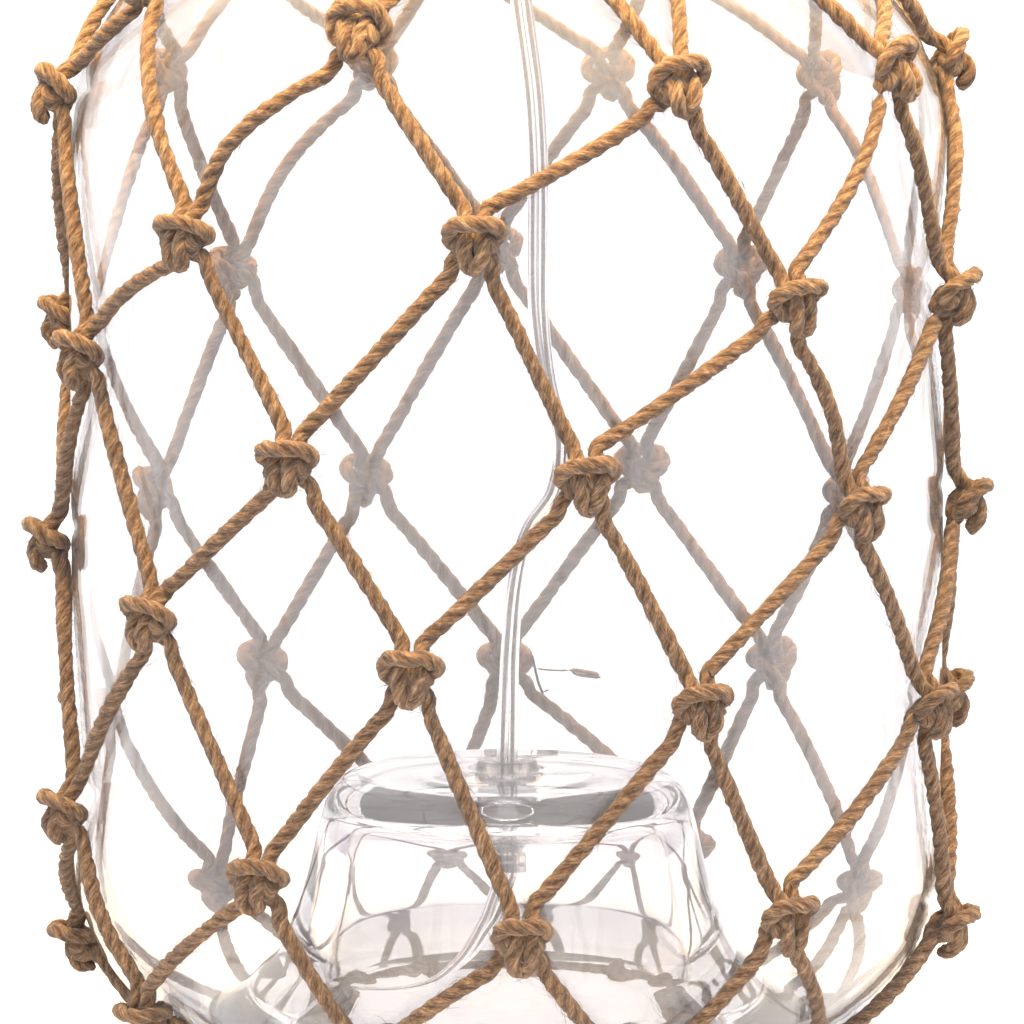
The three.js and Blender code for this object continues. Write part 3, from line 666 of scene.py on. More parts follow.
def lofted(stations, power=3.0):
    """A moulded shape along -Y at the plug: each station is (y, half width, half height)."""
    line = np.array([(PLUG_X, y, PLUG_Z) for y, _, _ in stations], float)
    sections = np.stack([superellipse(w, h, power) for _, w, h in stations])
    count = len(stations)
    sides = np.repeat([[1.0, 0, 0]], count, 0)
    ups = np.repeat([[0.0, 0, 1.0]], count, 0)
    points, faces = swept(line, sides, ups, sections)
    return points, [face[::-1] for face in faces]


def plug_relief():
    """A tapered strain relief, moulded as a row of ribs."""
    length = 20.0
    stations = []
    ribs = 7
    for i in range(ribs * 4 + 1):
        share = i / (ribs * 4)
        groove = 0.78 if i % 4 in (2, 3) and i < ribs * 4 - 2 else 1.0
        width, height = 3.6 + 2.9 * share, 2.6 + 2.4 * share
        stations.append((PLUG_RELIEF_Y - length * share, width * groove, height * groove))
    return lofted(stations, 2.6)


def plug_body():
    """The moulded body, with three ridges for the fingers on each side."""
    front = PLUG_BODY_Y - PLUG_BODY_LENGTH
    stations = [
        (PLUG_BODY_Y, 7.4, 5.2), (PLUG_BODY_Y - 0.6, 8.0, 5.6), (PLUG_BODY_Y - 6, 11.2, 6.5),
        (PLUG_BODY_Y - 11, 12.7, 6.8), (PLUG_BODY_Y - 15, 12.2, 6.4), (PLUG_BODY_Y - 20, 12.4, 6.5),
        (front + 4.5, 13.0, 6.8), (front + 1.0, 13.0, 6.8), (front + 0.2, 12.6, 6.4), (front, 12.2, 6.0),
    ]
    body = lofted(stations, 3.4)
    ridges = [
        lofted([(PLUG_BODY_Y - 13.5 - 2.2 * i, 12.75, 2.6), (PLUG_BODY_Y - 14.5 - 2.2 * i, 12.75, 2.6)], 6)
        for i in range(3)
    ]
    return merged(body, *ridges)


def plug_pin(side):
    """A round pin with a rounded tip."""
    root = PLUG_BODY_Y - PLUG_BODY_LENGTH - 0.3
    metal = turned_solid(np.array(
        [(0, 0), (1.9, 0), (2.0, 0.2), (2.0, PLUG_PIN_LENGTH - 2)]
        + arc((0, PLUG_PIN_LENGTH - 2), 2.0, 0, 90, 6)[1:]
    ), 32)
    lying = pointing(metal, (0, -1))
    return moved(lying, (PLUG_X + side * PLUG_PIN_SPACING / 2, root, PLUG_Z))


def coil_tie():
    """A flat band round the coil's bundle, with a pip that closes it."""
    clear = 0.7
    half = (COIL_OUTER - COIL_INNER) / 2 + clear + TIE_THICKNESS / 2
    middle = (COIL_INNER + COIL_OUTER) / 2
    low = COIL_BOTTOM_Z - 0.3 - TIE_THICKNESS / 2
    high = COIL_BOTTOM_Z + COIL_HEIGHT + 0.3 + TIE_THICKNESS / 2
    outline = np.array(softened([(-half, low), (half, low), (half, high), (-half, high)], 3.0, 8))
    count = len(outline)
    forward = np.roll(outline, -1, 0) - np.roll(outline, 1, 0)
    forward = forward / np.linalg.norm(forward, axis=1)[:, None]
    outward = np.stack([forward[:, 1], -forward[:, 0]], 1)
    section = softened(
        [(-TIE_LENGTH / 2, -TIE_THICKNESS / 2), (TIE_LENGTH / 2, -TIE_THICKNESS / 2),
         (TIE_LENGTH / 2, TIE_THICKNESS / 2), (-TIE_LENGTH / 2, TIE_THICKNESS / 2)], 0.25, 2,
    )
    points = []
    for place, out in zip(outline, outward):
        for across, thick in section:
            x, z = place + out * thick
            points.append((middle + x, across, z))
    faces = [face[::-1] for face in ring_faces(count, len(section), closed_rows=True)]
    band = (np.array(points), faces)
    pip = moved(
        turned_solid(np.array([(0, 0), (1.6, 0), (1.6, 0.5), (1.1, 0.9), (0, 0.9)]), 24),
        (middle, 0, high + TIE_THICKNESS / 2 - 0.05),
    )
    return moved(merged(band, pip), (*COIL_CENTRE, 0), TIE_ANGLE)


INSIDE_KEYS = [
    (0.0, (1, 0, 0)), (0.3, (1, 0, 0)), (0.52, (1, 0.15, 0)), (0.64, (0.75, 1, 0)), (0.74, (0.6, 1, 0)),
    (0.84, (0.85, 0.8, 0)), (0.93, (1, 0.3, 0)), (1.0, (1, 0, 0)),
]
inside_sheath, inside_cores, inside_line = make_flex(
    "clear_flex_inside", INSIDE_ROUTE, INSIDE_KEYS, 1.5, ["flex_inside"], 1.2,
)
FREE_KEYS = [
    (0.0, (1, 0, 0)), (0.006, (1, 0.05, 0)), (0.02, (0.3, 1, 0)), (0.035, (0, 1, 0)),
    (0.07, (0, 1, 0)), (0.09, (0, 0.6, 1)), (0.1, (0, 0, 1)), (0.985, (0, 0, 1)),
    (0.992, (1, 0, 0.8)), (1.0, (1, 0, 0)),
]
free_sheath, free_cores, free_line = make_flex(
    "clear_flex", FREE_ROUTE, FREE_KEYS, 1.8, ["flex_tail", "flex_coil", "flex_end"], 1.5,
)

TIE = add_piece("tie_band", coil_tie(), BLACK_PLASTIC, nodes=["coil_tie"])
PLUG_PIECES = [
    add_piece("moulded_relief", plug_relief(), CLEAR_MOULDING, nodes=["plug_relief"]),
    add_piece("moulded_plug", plug_body(), CLEAR_MOULDING, nodes=["plug_body"]),
    add_piece("pin_left", plug_pin(-1), STEEL, nodes=["plug_pin_left"]),
    add_piece("pin_right", plug_pin(1), STEEL, nodes=["plug_pin_right"]),
]

# ---------------------------------------------------------------- glass jar

SHOULDER_CENTRE = (JAR_RADIUS - SHOULDER_ROUND, SHOULDER_Z)
CORNER_CENTRE = (FOOT_RADIUS, FOOT_Z + CORNER_ROUND)
SHOULDER_END = math.radians(SHOULDER_SWEEP)
FILLET_CENTRE = (
    SHOULDER_CENTRE[0] + (SHOULDER_ROUND + NECK_FILLET) * math.cos(SHOULDER_END),
    SHOULDER_CENTRE[1] + (SHOULDER_ROUND + NECK_FILLET) * math.sin(SHOULDER_END),
)
NECK_RADIUS = FILLET_CENTRE[0] - NECK_FILLET


def jar_profile():
    """The jar's wall, once round: up the outside, over the rim, down the inside and over the punt."""
    outside = [
        *arc(CORNER_CENTRE, CORNER_ROUND, -90, 0, 28),
        *arc(SHOULDER_CENTRE, SHOULDER_ROUND, 0, SHOULDER_SWEEP, 30),
        *arc(FILLET_CENTRE, NECK_FILLET, 180 + SHOULDER_SWEEP, 180, 12),
    ]
    rim = softened([
        (NECK_RADIUS, RIM_Z - 7), (NECK_RADIUS, RIM_Z - 5.4), (RIM_RADIUS, RIM_Z - 4.4), (RIM_RADIUS, RIM_Z),
        (NECK_RADIUS - WALL, RIM_Z), (NECK_RADIUS - WALL, RIM_Z - 5),
    ], 1.7, 5, closed=False)
    inside = [
        *arc(FILLET_CENTRE, NECK_FILLET + WALL, 180, 180 + SHOULDER_SWEEP, 12),
        *arc(SHOULDER_CENTRE, SHOULDER_ROUND - WALL, SHOULDER_SWEEP, 0, 30)[1:],
        *arc(CORNER_CENTRE, CORNER_ROUND - WALL, 0, -68, 20),
    ]
    punt_outside = smooth_profile([
        (65, 13), (61, 16.2), (57, 21), (53.5, 24.5), (51, 29.5), (48.5, 36.4), (46, 44.6), (43, 57.4),
        (41.5, 61.5), (38.5, 65.2), (34.7, PUNT_Z),
    ])
    roof_z = PUNT_Z - PUNT_THICKNESS
    hole = softened([(20, PUNT_Z), (FLEX_HOLE_RADIUS, PUNT_Z), (FLEX_HOLE_RADIUS, roof_z), (20, roof_z)],
                    0.6, 3, closed=False)
    punt_inside = smooth_profile([
        (30, roof_z), (34.5, roof_z - 2), (36.5, roof_z - 6.5), (38.5, 42), (41, 30), (43.5, 20),
        (46.5, 11), (49.5, 6), (52, 4),
    ])
    return [*outside, *rim, *inside, *punt_outside, *hole, *punt_inside]


def smooth_profile(points, step=1.6):
    line = smooth_line([(r, 0, z) for r, z in points], step)
    return [(r, z) for r, _, z in line]


add_piece(
    "clear_jar", turned(jar_profile(), 192), JAR_GLASS, nodes=["glass_jar"], smooth=50,
)

# ---------------------------------------------------------------- net layout


def on_glass(angle, along, standoff):
    """A point standing off the glass, from the angle and the distance up along it from KNOT_ZERO_Z."""
    over_shoulder = along - (SHOULDER_Z - KNOT_ZERO_Z)
    round_foot = -along - (KNOT_ZERO_Z - CORNER_CENTRE[1])
    radius, z = JAR_RADIUS + standoff, KNOT_ZERO_Z + along
    if over_shoulder > 0:
        tilt = over_shoulder / (SHOULDER_ROUND + STRAND_OFF)
        radius = SHOULDER_CENTRE[0] + (SHOULDER_ROUND + standoff) * math.cos(tilt)
        z = SHOULDER_Z + (SHOULDER_ROUND + standoff) * math.sin(tilt)
    if round_foot > 0:
        quarter = (math.pi / 2) * (CORNER_ROUND + STRAND_OFF)
        tilt = -min(round_foot, quarter) / (CORNER_ROUND + STRAND_OFF)
        radius = CORNER_CENTRE[0] + (CORNER_ROUND + standoff) * math.cos(tilt) - max(0, round_foot - quarter)
        z = CORNER_CENTRE[1] + (CORNER_ROUND + standoff) * math.sin(tilt)
    turn = math.radians(angle)
    return np.array([radius * math.sin(turn), -radius * math.cos(turn), z])


def knot_place(n):
    """Where knot number n sits: its angle, and its distance along the glass."""
    even_angle = KNOT_ZERO_ANGLE - KNOT_STEP_ANGLE * n
    turn = math.radians(even_angle)
    above, below = max(0, n - CROWDED_ABOVE), min(0, n - CROWDED_BELOW)
    rise = KNOT_RISE * (n - above - below) + CROWDED_RISE * (above + below)
    slack_angle, slack_up = KNOT_SLACK.get(n, (0, 0))
    lean = LEAN_FORWARD * math.cos(turn) + LEAN_RIGHT * math.sin(turn)
    return even_angle + slack_angle, rise - lean + slack_up


def radius_at(along):
    return math.hypot(*on_glass(0, along, 0)[:2])


def beside(place, right, up):
    """A place moved by millimetres to the right and up along the glass."""
    angle, along = place
    return angle + math.degrees(right / radius_at(along)), along + up


def short_turn(start, stop):
    return (stop - start + 180) % 360 - 180


def apart(start, stop):
    """How far stop is from start: millimetres to the right and up."""
    radius = radius_at((start[1] + stop[1]) / 2)
    return math.radians(short_turn(start[0], stop[0])) * radius, stop[1] - start[1]


# ---------------------------------------------------------------- twine

rng = np.random.default_rng(831)

# A knot, in millimetres right, up and off the glass from its middle. The loop of the round above comes down
# through it and turns back up; the twine of the round below wraps round that loop's neck.
LOOP_IN_KNOT = [
    (-1.9, 4.5, 4.6), (-1.7, 1.0, 7.2), (-1.7, -2.2, 8.3), (-1.3, -4.2, 7.6), (0, -5.2, 6.4),
    (1.3, -4.2, 7.6), (1.7, -2.2, 8.3), (1.7, 1.0, 7.2), (1.9, 4.5, 4.6),
]
WRAP_IN_KNOT = [
    (-3.2, -2.2, 2.1), (0, -0.5, 1.9), (4.2, 1.0, 3.0), (5.2, 2.7, 5.8), (3.4, 4.3, 8.8), (0, 4.5, 9.9),
    (-3.4, 4.0, 8.8), (-5.2, 2.1, 6.4), (-4.6, 0.2, 4.8), (-1.0, -1.9, 4.0), (2.2, -2.9, 3.4),
]
# The crossing turns that fill a knot's middle, as one thick core behind the loop.
KNOT_HEART = [(-4.6, 0.6, 4.9), (-2.2, 0.0, 5.2), (0, -0.3, 5.3), (2.2, -0.4, 5.2), (4.6, -0.6, 4.9)]
HEART_RADIUS = 3.3

# How far aside and above a knot's middle each strand of its loop goes in.
LOOP_MOUTH = (2.4, 7.2)

# Distances from a knot's middle: to where a strand slips under the wrap, and to where it lies on the glass.
KNOT_EDGE = 5.2
KNOT_REACH = 9.0
NECK_HITCH = [
    (-1.9, -4.0, 2.4), (-1.9, -0.4, 5.4), (-1.9, 3.2, 3.2), (0, 4.6, 1.8), (1.9, 3.2, 3.2),
    (1.9, -0.4, 5.4), (1.9, -4.0, 2.4),
]


def unit(vector):
    vector = np.asarray(vector, float)
    return vector / np.linalg.norm(vector)


def knot_points(place, shape, shake=0.2):
    """A part of a knot laid on the glass, each one a little different."""
    points = []
    for right, up, off in shape:
        dr, du, do = rng.normal(0, shake, 3)
        points.append(on_glass(*beside(place, right + dr, up + du), max(1.9, off + do)))
    return points


def strand_points(start, stop, bow=None, count=6):
    """Points between two places, each (angle, along), with a slight natural bow."""
    turn = short_turn(start[0], stop[0])
    sideways = rng.normal(0, 0.5) if bow is None else bow
    points = []
    for i in range(1, count + 1):
        t = i / (count + 1)
        place = (start[0] + turn * t, start[1] + (stop[1] - start[1]) * t)
        place = beside(place, sideways * math.sin(math.pi * t), 0)
        points.append(on_glass(*place, STRAND_OFF))
    return points


def edge_of_knot(place, towards, reach):
    """The place on the line from one knot to another, just outside the first."""
    right, up = reach * unit(apart(place, towards))
    return beside(place, right, up)


def knot_corner(place, towards, side):
    """Where a strand slips in beside the loop, at the knot's lower left or right."""
    right, up = KNOT_EDGE * unit(apart(place, towards))
    return on_glass(*beside(place, right + 1.2 * side, up + 0.3), 2.6)


def wrap_round(place, came_from, goes_to):
    """The working twine through a knot, from the strand it comes by to the one it leaves by."""
    return [
        on_glass(*edge_of_knot(place, came_from, KNOT_REACH), STRAND_OFF),
        knot_corner(place, came_from, -1),
        *knot_points(place, WRAP_IN_KNOT),
        knot_corner(place, goes_to, 1),
        on_glass(*edge_of_knot(place, goes_to, KNOT_REACH), STRAND_OFF),
    ]


def loop_mouth(place, side):
    """Where a strand of the loop goes in at the top of a knot: left is -1, right is 1."""
    return beside(place, LOOP_MOUTH[0] * side, LOOP_MOUTH[1])


def loop_through(place):
    """The loop that a knot closes round."""
    return [
        on_glass(*loop_mouth(place, -1), STRAND_OFF + 0.6),
        *knot_points(place, LOOP_IN_KNOT),
        on_glass(*loop_mouth(place, 1), STRAND_OFF + 0.6),
    ]


def twine_shape(points, step=1.0, radius=TWINE_RADIUS, lay=TWINE_LAY, fuzz=3.0, columns=18):
    """Three plies twisted together along points, with loose fibres. It carries each point's place on the
    plies, as strand, and how deep it lies between them, as groove."""
    line = smooth_line(points, step)
    along = lengths_along(line)
    sides, ups = carried_frames(line)
    angles = 2 * math.pi * np.arange(columns) / columns
    crown = np.abs(np.cos(PLIES * angles / 2)) ** 0.75
    rows = len(line)
    uneven = rng.normal(0, 1, (rows + 6, columns))
    uneven = sum(uneven[k:k + rows] for k in range(7)) / 7**0.5
    lumps = np.arange(0, along[-1] + 2 * LUMP_SPACING, LUMP_SPACING)
    heights = rng.normal(0, 1, int((along[-1] + 2 * LUMP_SPACING) // LUMP_SPACING) + 1)
    swell = np.interp(along, lumps, heights)
    radii = radius * (0.8 + 0.2 * crown[None] + 0.045 * uneven + 0.045 * swell[:, None])
    taper = np.clip(np.minimum(np.arange(rows), np.arange(rows)[::-1]) / 2.0, 0.25, 1.0)
    radii = radii * taper[:, None]
    turn = angles[None] + 2 * math.pi * along[:, None] / lay
    sections = np.stack([radii * np.cos(turn), radii * np.sin(turn)], 2)
    points, faces = swept(line, sides, ups, sections)
    start = rng.uniform(0, 500)
    strand = np.stack([
        np.tile(radius * np.cos(angles), rows), np.tile(radius * np.sin(angles), rows),
        np.repeat(start + along, columns),
    ], 1)
    groove = np.tile(1 - crown, rows)
    body = (points, faces, {"strand": strand, "groove": groove})
    shape = merged(body, fibres(line, sides, ups, radius, int(fuzz * along[-1])))
    shape[0][:, 2] = np.maximum(shape[0][:, 2], 0.02)
    return shape


def fibres(line, sides, ups, radius, count, long=(1.0, 4.5), thick=0.06):
    """Loose fibres that stand out of the twine, each a thin tapered tube."""
    stations = 4
    at = rng.integers(2, len(line) - 2, count)
    turn = rng.uniform(0, 2 * math.pi, count)
    outward = np.cos(turn)[:, None] * sides[at] + np.sin(turn)[:, None] * ups[at]
    forward = tangents(line)[at] * rng.choice([-1.0, 1.0], count)[:, None]
    length = rng.uniform(*long, count)
    lift = rng.uniform(0.15, 0.8, count)
    side = np.cross(forward, outward)
    sway = rng.normal(0, 0.35, count)
    t = np.linspace(0, 1, stations)
    paths = (
        line[at][:, None] + outward[:, None] * radius * 0.75
        + forward[:, None] * (length[:, None] * t)[..., None]
        + outward[:, None] * (length[:, None] * lift[:, None] * (t - 0.35 * t**2))[..., None]
        + side[:, None] * (length[:, None] * sway[:, None] * t**2)[..., None]
    )
    thickness = thick * np.array([1.0, 0.9, 0.7, 0.25])
    corner = 2 * math.pi * np.arange(3) / 3
    offsets = np.cos(corner)[:, None, None] * side + np.sin(corner)[:, None, None] * outward
    rings = paths[:, :, None] + thickness[None, :, None, None] * offsets.transpose(1, 0, 2)[:, None]
    faces = []
    size = 3 * stations
    one = [face[::-1] for face in ring_faces(stations, 3)] + [(0, 1, 2), (size - 1, size - 2, size - 3)]
    for i in range(count):
        faces += [tuple(size * i + c for c in face) for face in one]
    strand = np.repeat(rng.uniform(0, 60, (count, 3)), size, 0)
    return rings.reshape(-1, 3), faces, {"strand": strand, "groove": np.zeros(size * count)}


def neck_hitch_place(angle):
    return angle, SHOULDER_Z - KNOT_ZERO_Z + NECK_HITCH_TILT * (SHOULDER_ROUND + STRAND_OFF)


def halfway(left, right):
    return left + short_turn(left, right) / 2


def net_round(number):
    """The twine that hangs from one round of knots, or from the neck ring, and makes the loops of its own."""
    first = LOWEST_KNOT + KNOTS_PER_ROUND * (ROUND_COUNT - number)
    last = first + KNOTS_PER_ROUND - 1
    numbers = range(last, first - 1, -1)
    own = [knot_place(n) for n in numbers]
    if number == 1:
        uppers = [neck_hitch_place(halfway(own[i - 1][0], own[i][0])) for i in range(len(own))]
        uppers.append(uppers[0])
    else:
        uppers = [knot_place(n + KNOTS_PER_ROUND) for n in numbers]
        uppers.append(knot_place(last))
    points = []
    for i, (n, place) in enumerate(zip(numbers, own)):
        upper, after = uppers[i], uppers[i + 1]
        if number == 1:
            points += hitch_on(upper, NECK_HITCH)
        elif i == 0:
            points += wrap_round(upper, knot_place(last + 1), place)[1:]
        else:
            points += wrap_round(upper, own[i - 1], place)
        bow = STRAND_BOWS.get((n, n + KNOTS_PER_ROUND))
        points += strand_points(edge_of_knot(upper, place, KNOT_REACH), loop_mouth(place, -1), bow)
        points += loop_through(place)
        bow = STRAND_BOWS.get((n, n + KNOTS_PER_ROUND - 1))
        points += strand_points(loop_mouth(place, 1), edge_of_knot(after, place, KNOT_REACH), bow)
    if number == 1:
        points += hitch_on(uppers[0], NECK_HITCH[:1])
    else:
        points.append(on_glass(*edge_of_knot(uppers[-1], own[-1], KNOT_REACH), STRAND_OFF))
        points.append(knot_corner(uppers[-1], own[-1], -1))
    return points


def hitch_on(place, shape):
    return [on_glass(*beside(place, right, up), off) for right, up, off in shape]


# ---------------------------------------------------------------- under the jar

TOP_OF_LAST_ROUND = LOWEST_KNOT + KNOTS_PER_ROUND - 1


def foot_hitch(angle):
    """A turn round the base ring, in from under the foot and out again."""
    ring_radius, ring_z = BASE_RING
    reach = 2 * TWINE_RADIUS
    points = []
    for radius, z, aside in [
        (51.5, TWINE_RADIUS, -2.4), (47, TWINE_RADIUS, -2.2), (ring_radius, ring_z - reach + 0.2, -2.0),
        (ring_radius - reach, ring_z, -1.0), (ring_radius, ring_z + reach - 0.3, 0.6),
        (ring_radius + reach, ring_z - 0.4, 2.2), (47.5, TWINE_RADIUS + 0.4, 2.4), (51.5, TWINE_RADIUS, 2.4),
    ]:
        turn = math.radians(angle) + aside / radius
        points.append(np.array([radius * math.sin(turn), -radius * math.cos(turn), z]))
    return points


def foot_strand(top, angle, inward):
    """The twine from a knot of the last round in under the foot, or back out."""
    count = 8
    low_along = -(KNOT_ZERO_Z - CORNER_CENTRE[1]) - (math.pi / 2) * (CORNER_ROUND + STRAND_OFF)
    points = []
    turn = short_turn(top[0], angle)
    for i in range(1, count + 1):
        t = i / (count + 1)
        point = on_glass(top[0] + turn * t, top[1] + (low_along - top[1]) * t, STRAND_OFF)
        point[2] = max(point[2], TWINE_RADIUS)
        points.append(point)
    return points if inward else points[::-1]


def net_foot():
    knots = [knot_place(n) for n in range(TOP_OF_LAST_ROUND, LOWEST_KNOT - 1, -1)]
    count = len(knots)
    hitches = [halfway(knots[i][0], knots[(i + 1) % count][0]) for i in range(count)]
    low = -(KNOT_ZERO_Z - CORNER_CENTRE[1]) - 60
    points = []
    for i, knot in enumerate(knots):
        came_from, goes_to = (hitches[i - 1], low), (hitches[i], low)
        points += wrap_round(knot, came_from, goes_to)[i == 0:]
        points += foot_strand(edge_of_knot(knot, goes_to, KNOT_REACH), hitches[i], inward=True)
        points += foot_hitch(hitches[i])
        after = knots[(i + 1) % count]
        points += foot_strand(edge_of_knot(after, (hitches[i], low), KNOT_REACH), hitches[i], inward=False)
    points.append(knot_corner(knots[0], (hitches[-1], low), -1))
    return points


def ring_points(radius, z, turns=1.0, rise=0.0, steps=60, start=0.0):
    """Points round the axis, rising by rise a turn."""
    points = []
    for i in range(int(steps * turns) + 1):
        turn = 2 * math.pi * i / steps + math.radians(start)
        points.append((radius * math.sin(turn), -radius * math.cos(turn), z + rise * i / steps))
    return points


def knot_hearts(number):
    """The thick cores of one round's knots."""
    first = LOWEST_KNOT + KNOTS_PER_ROUND * (ROUND_COUNT - number)
    places = [knot_place(n) for n in range(first, first + KNOTS_PER_ROUND)]
    return [twine_shape(knot_points(place, KNOT_HEART), 0.7, HEART_RADIUS, 9.0) for place in places]


for number in range(1, ROUND_COUNT + 1):
    add_piece(
        f"jute_round_{number}", merged(twine_shape(net_round(number)), *knot_hearts(number)), JUTE,
        nodes=[f"net_round_{number}"], smooth=180,
    )
add_piece("jute_foot", twine_shape(net_foot()), JUTE, nodes=["net_foot"], smooth=180)
add_piece(
    "jute_base_ring", twine_shape(ring_points(*BASE_RING, turns=1.02, start=20)), JUTE,
    nodes=["base_ring"], smooth=180,
)
add_piece(
    "jute_neck_ring", twine_shape(ring_points(*NECK_RING, turns=1.02, start=200)), JUTE,
    nodes=["neck_ring"], smooth=180,
)


def binding_points():
    """A close winding round the neck."""
    return ring_points(BINDING_RADIUS, BINDING_Z, BINDING_TURNS - 1, BINDING_PITCH, start=160)


add_piece(
    "jute_neck_binding", twine_shape(binding_points()), JUTE, nodes=["neck_binding"], smooth=180,
)

# ---------------------------------------------------------------- bits of bark caught in the twine

# Each is (knot, [(right, up, off the glass) in mm from that knot], radius).
BARK_BITS = [
    (-13, [(-6.2, 3.4, 5.5), (-6.7, 1.2, 6.6), (-7.2, -1.4, 7.2), (-8.0, -4.6, 7.0), (-9.2, -7.4, 6.6)], 0.4),
    (-13, [(-4.9, 1.4, 5.6), (-5.8, 0.6, 6.2), (-6.9, -0.5, 7.0)], 0.3),
    (-13, [(-9.0, -6.8, 6.6), (-9.7, -6.3, 6.9), (-10.6, -6.1, 7.4)], 0.3),
    (-13, [(-7.3, -0.8, 7.2), (-10.4, -1.2, 7.8), (-13.0, -1.3, 8.0), (-15.2, -1.2, 8.2)], 0.3),
    (7, [(3.6, 18.0, 3.6), (2.4, 18.9, 4.6), (1.2, 19.2, 5.4)], 0.3),
    (7, [(-1.2, 22.4, 2.6), (-1.6, 21.0, 3.8), (-1.4, 19.6, 4.6)], 0.2),
    (-9, [(2.4, 6.8, 4.4), (1.6, 7.8, 5.6), (0.9, 8.9, 6.0)], 0.25),
]
PALE_BITS = [
    (-13, [(-15.0, -1.2, 8.2), (-17.4, -1.3, 8.4), (-20.0, -1.7, 8.2), (-22.6, -2.1, 7.6)], 0.6),
    (-13, [(-15.4, -1.3, 8.2), (-17.2, -2.2, 8.0), (-19.8, -2.6, 8.0), (-22.9, -2.8, 7.8)], 0.5),
]


def caught_bits(bits):
    shapes = []
    for knot, places, radius in bits:
        home = knot_place(knot)
        points = [on_glass(*beside(home, right, up), off) for right, up, off in places]
        shapes.append(twine_shape(points, 0.5, radius, 2.5, fuzz=0, columns=8))
    return merged(*shapes)


add_piece("caught_bark", caught_bits(BARK_BITS), BARK, smooth=180)
add_piece("caught_pale_fibre", caught_bits(PALE_BITS), PALE_FIBRE, smooth=180)

# ---------------------------------------------------------------- neck cap and lampholder

SEAT_Z = RIM_Z + 0.3
CAP_UNDER_Z = SEAT_Z + 2.3
NUT_Z = CAP_CROWN_Z - 8


def neck_cap():
    """The spun cap: a rolled skirt, a shoulder step and a flat crown."""
    outer = softened([
        (46.4, RIM_Z - 11.2), (47.8, RIM_Z - 11.2), (47.8, RIM_Z - 9.8), (47.3, RIM_Z - 9.4), (47.3, RIM_Z),
        (45.2, CAP_UNDER_Z + 1.4), (40, CAP_UNDER_Z + 2.2), (13, CAP_CROWN_Z), (5.4, CAP_CROWN_Z),
        (5.4, CAP_CROWN_Z - 1.9), (13, CAP_CROWN_Z - 1.9), (36, CAP_UNDER_Z + 0.2), (44.5, CAP_UNDER_Z + 0.2),
        (46, RIM_Z - 0.5), (46, RIM_Z - 10.6),
    ], 0.7, 4)
    return turned(outer, 128)


def knurled(depth, ribs, low, high):
    """A ripple of ribs between two heights."""
    def ripple(angles, z):
        if not low < z < high:
            return np.zeros_like(angles)
        return depth * np.abs(np.cos(ribs * angles / 2)) ** 0.6 - depth
    return ripple


def thumbscrew():
    """A thumbscrew up +Z: a threaded shank, and a knurled head with a chamfered edge."""
    head = softened([(0.3, 49.2), (4.1, 49.2), (4.5, 49.6), (4.5, 53.4), (4.0, 54), (0.3, 54)], 0.2, 2)
    body = turned(head, 104, ripple=knurled(0.28, 26, 49.5, 53.5))
    shank = thread(1.5, 0.22, 0.7, 42.4, 49.3, 0.2, segments=24, steps_per_pitch=6)
    return merged(body, shank)


add_piece("spun_cap", neck_cap(), BRASS, nodes=["neck_cap"])
for index, angle in enumerate((60, 180, 300)):
    turn = math.radians(angle)
    direction = (math.sin(turn), -math.cos(turn))
    add_piece(
        f"thumbscrew_{index + 1}", moved(pointing(thumbscrew(), direction), (0, 0, SCREW_Z)), BRASS,
        nodes=[f"cap_screw_{index + 1}"],
    )
GASKET_PROFILE = softened([(44, SEAT_Z), (44, SEAT_Z + 2), (36, SEAT_Z + 2), (36, SEAT_Z)], 0.6, 4)
add_piece("seat_gasket", turned(GASKET_PROFILE, 96), RUBBER, nodes=["seat_ring"])
add_piece(
    "threaded_nipple",
    thread(NIPPLE_RADIUS, 0.35, 1.0, CAP_CROWN_Z - 11, HOLDER_Z + 8, NIPPLE_BORE, segments=48),
    BRASS, nodes=["nipple"],
)


def locknut():
    """A hexagonal nut with chamfered corners."""
    segments = 96
    angles = 2 * math.pi * np.arange(segments) / segments
    flat = np.cos(math.pi / 6) / np.cos((angles + math.pi / 6) % (math.pi / 3) - math.pi / 6)
    hexagon = np.minimum(8 * flat, 8 * 0.985)
    rings = [(hexagon * share, z) for share, z in [(0.95, 0.0), (1.0, 0.5), (1.0, 3.9), (0.95, 4.4)]]
    rings += [(5.9, 4.4), (5.35, 3.9), (5.35, 0.5), (5.9, 0.0)]
    points = []
    for out, z in rings:
        height = np.full(segments, NUT_Z + z)
        points.append(np.stack([out * np.sin(angles), -out * np.cos(angles), height], 1))
    return np.concatenate(points), ring_faces(8, segments, closed_rows=True)


add_piece("hex_locknut", locknut(), BRASS, nodes=["locknut"])
WASHER_LOW, WASHER_HIGH = NUT_Z + 4.7, NUT_Z + 5.7
WASHER_PROFILE = softened([(9, WASHER_LOW), (9, WASHER_HIGH), (5.4, WASHER_HIGH), (5.4, WASHER_LOW)], 0.2, 2)
add_piece("flat_washer", turned(WASHER_PROFILE, 64), STEEL, nodes=["cap_washer"])


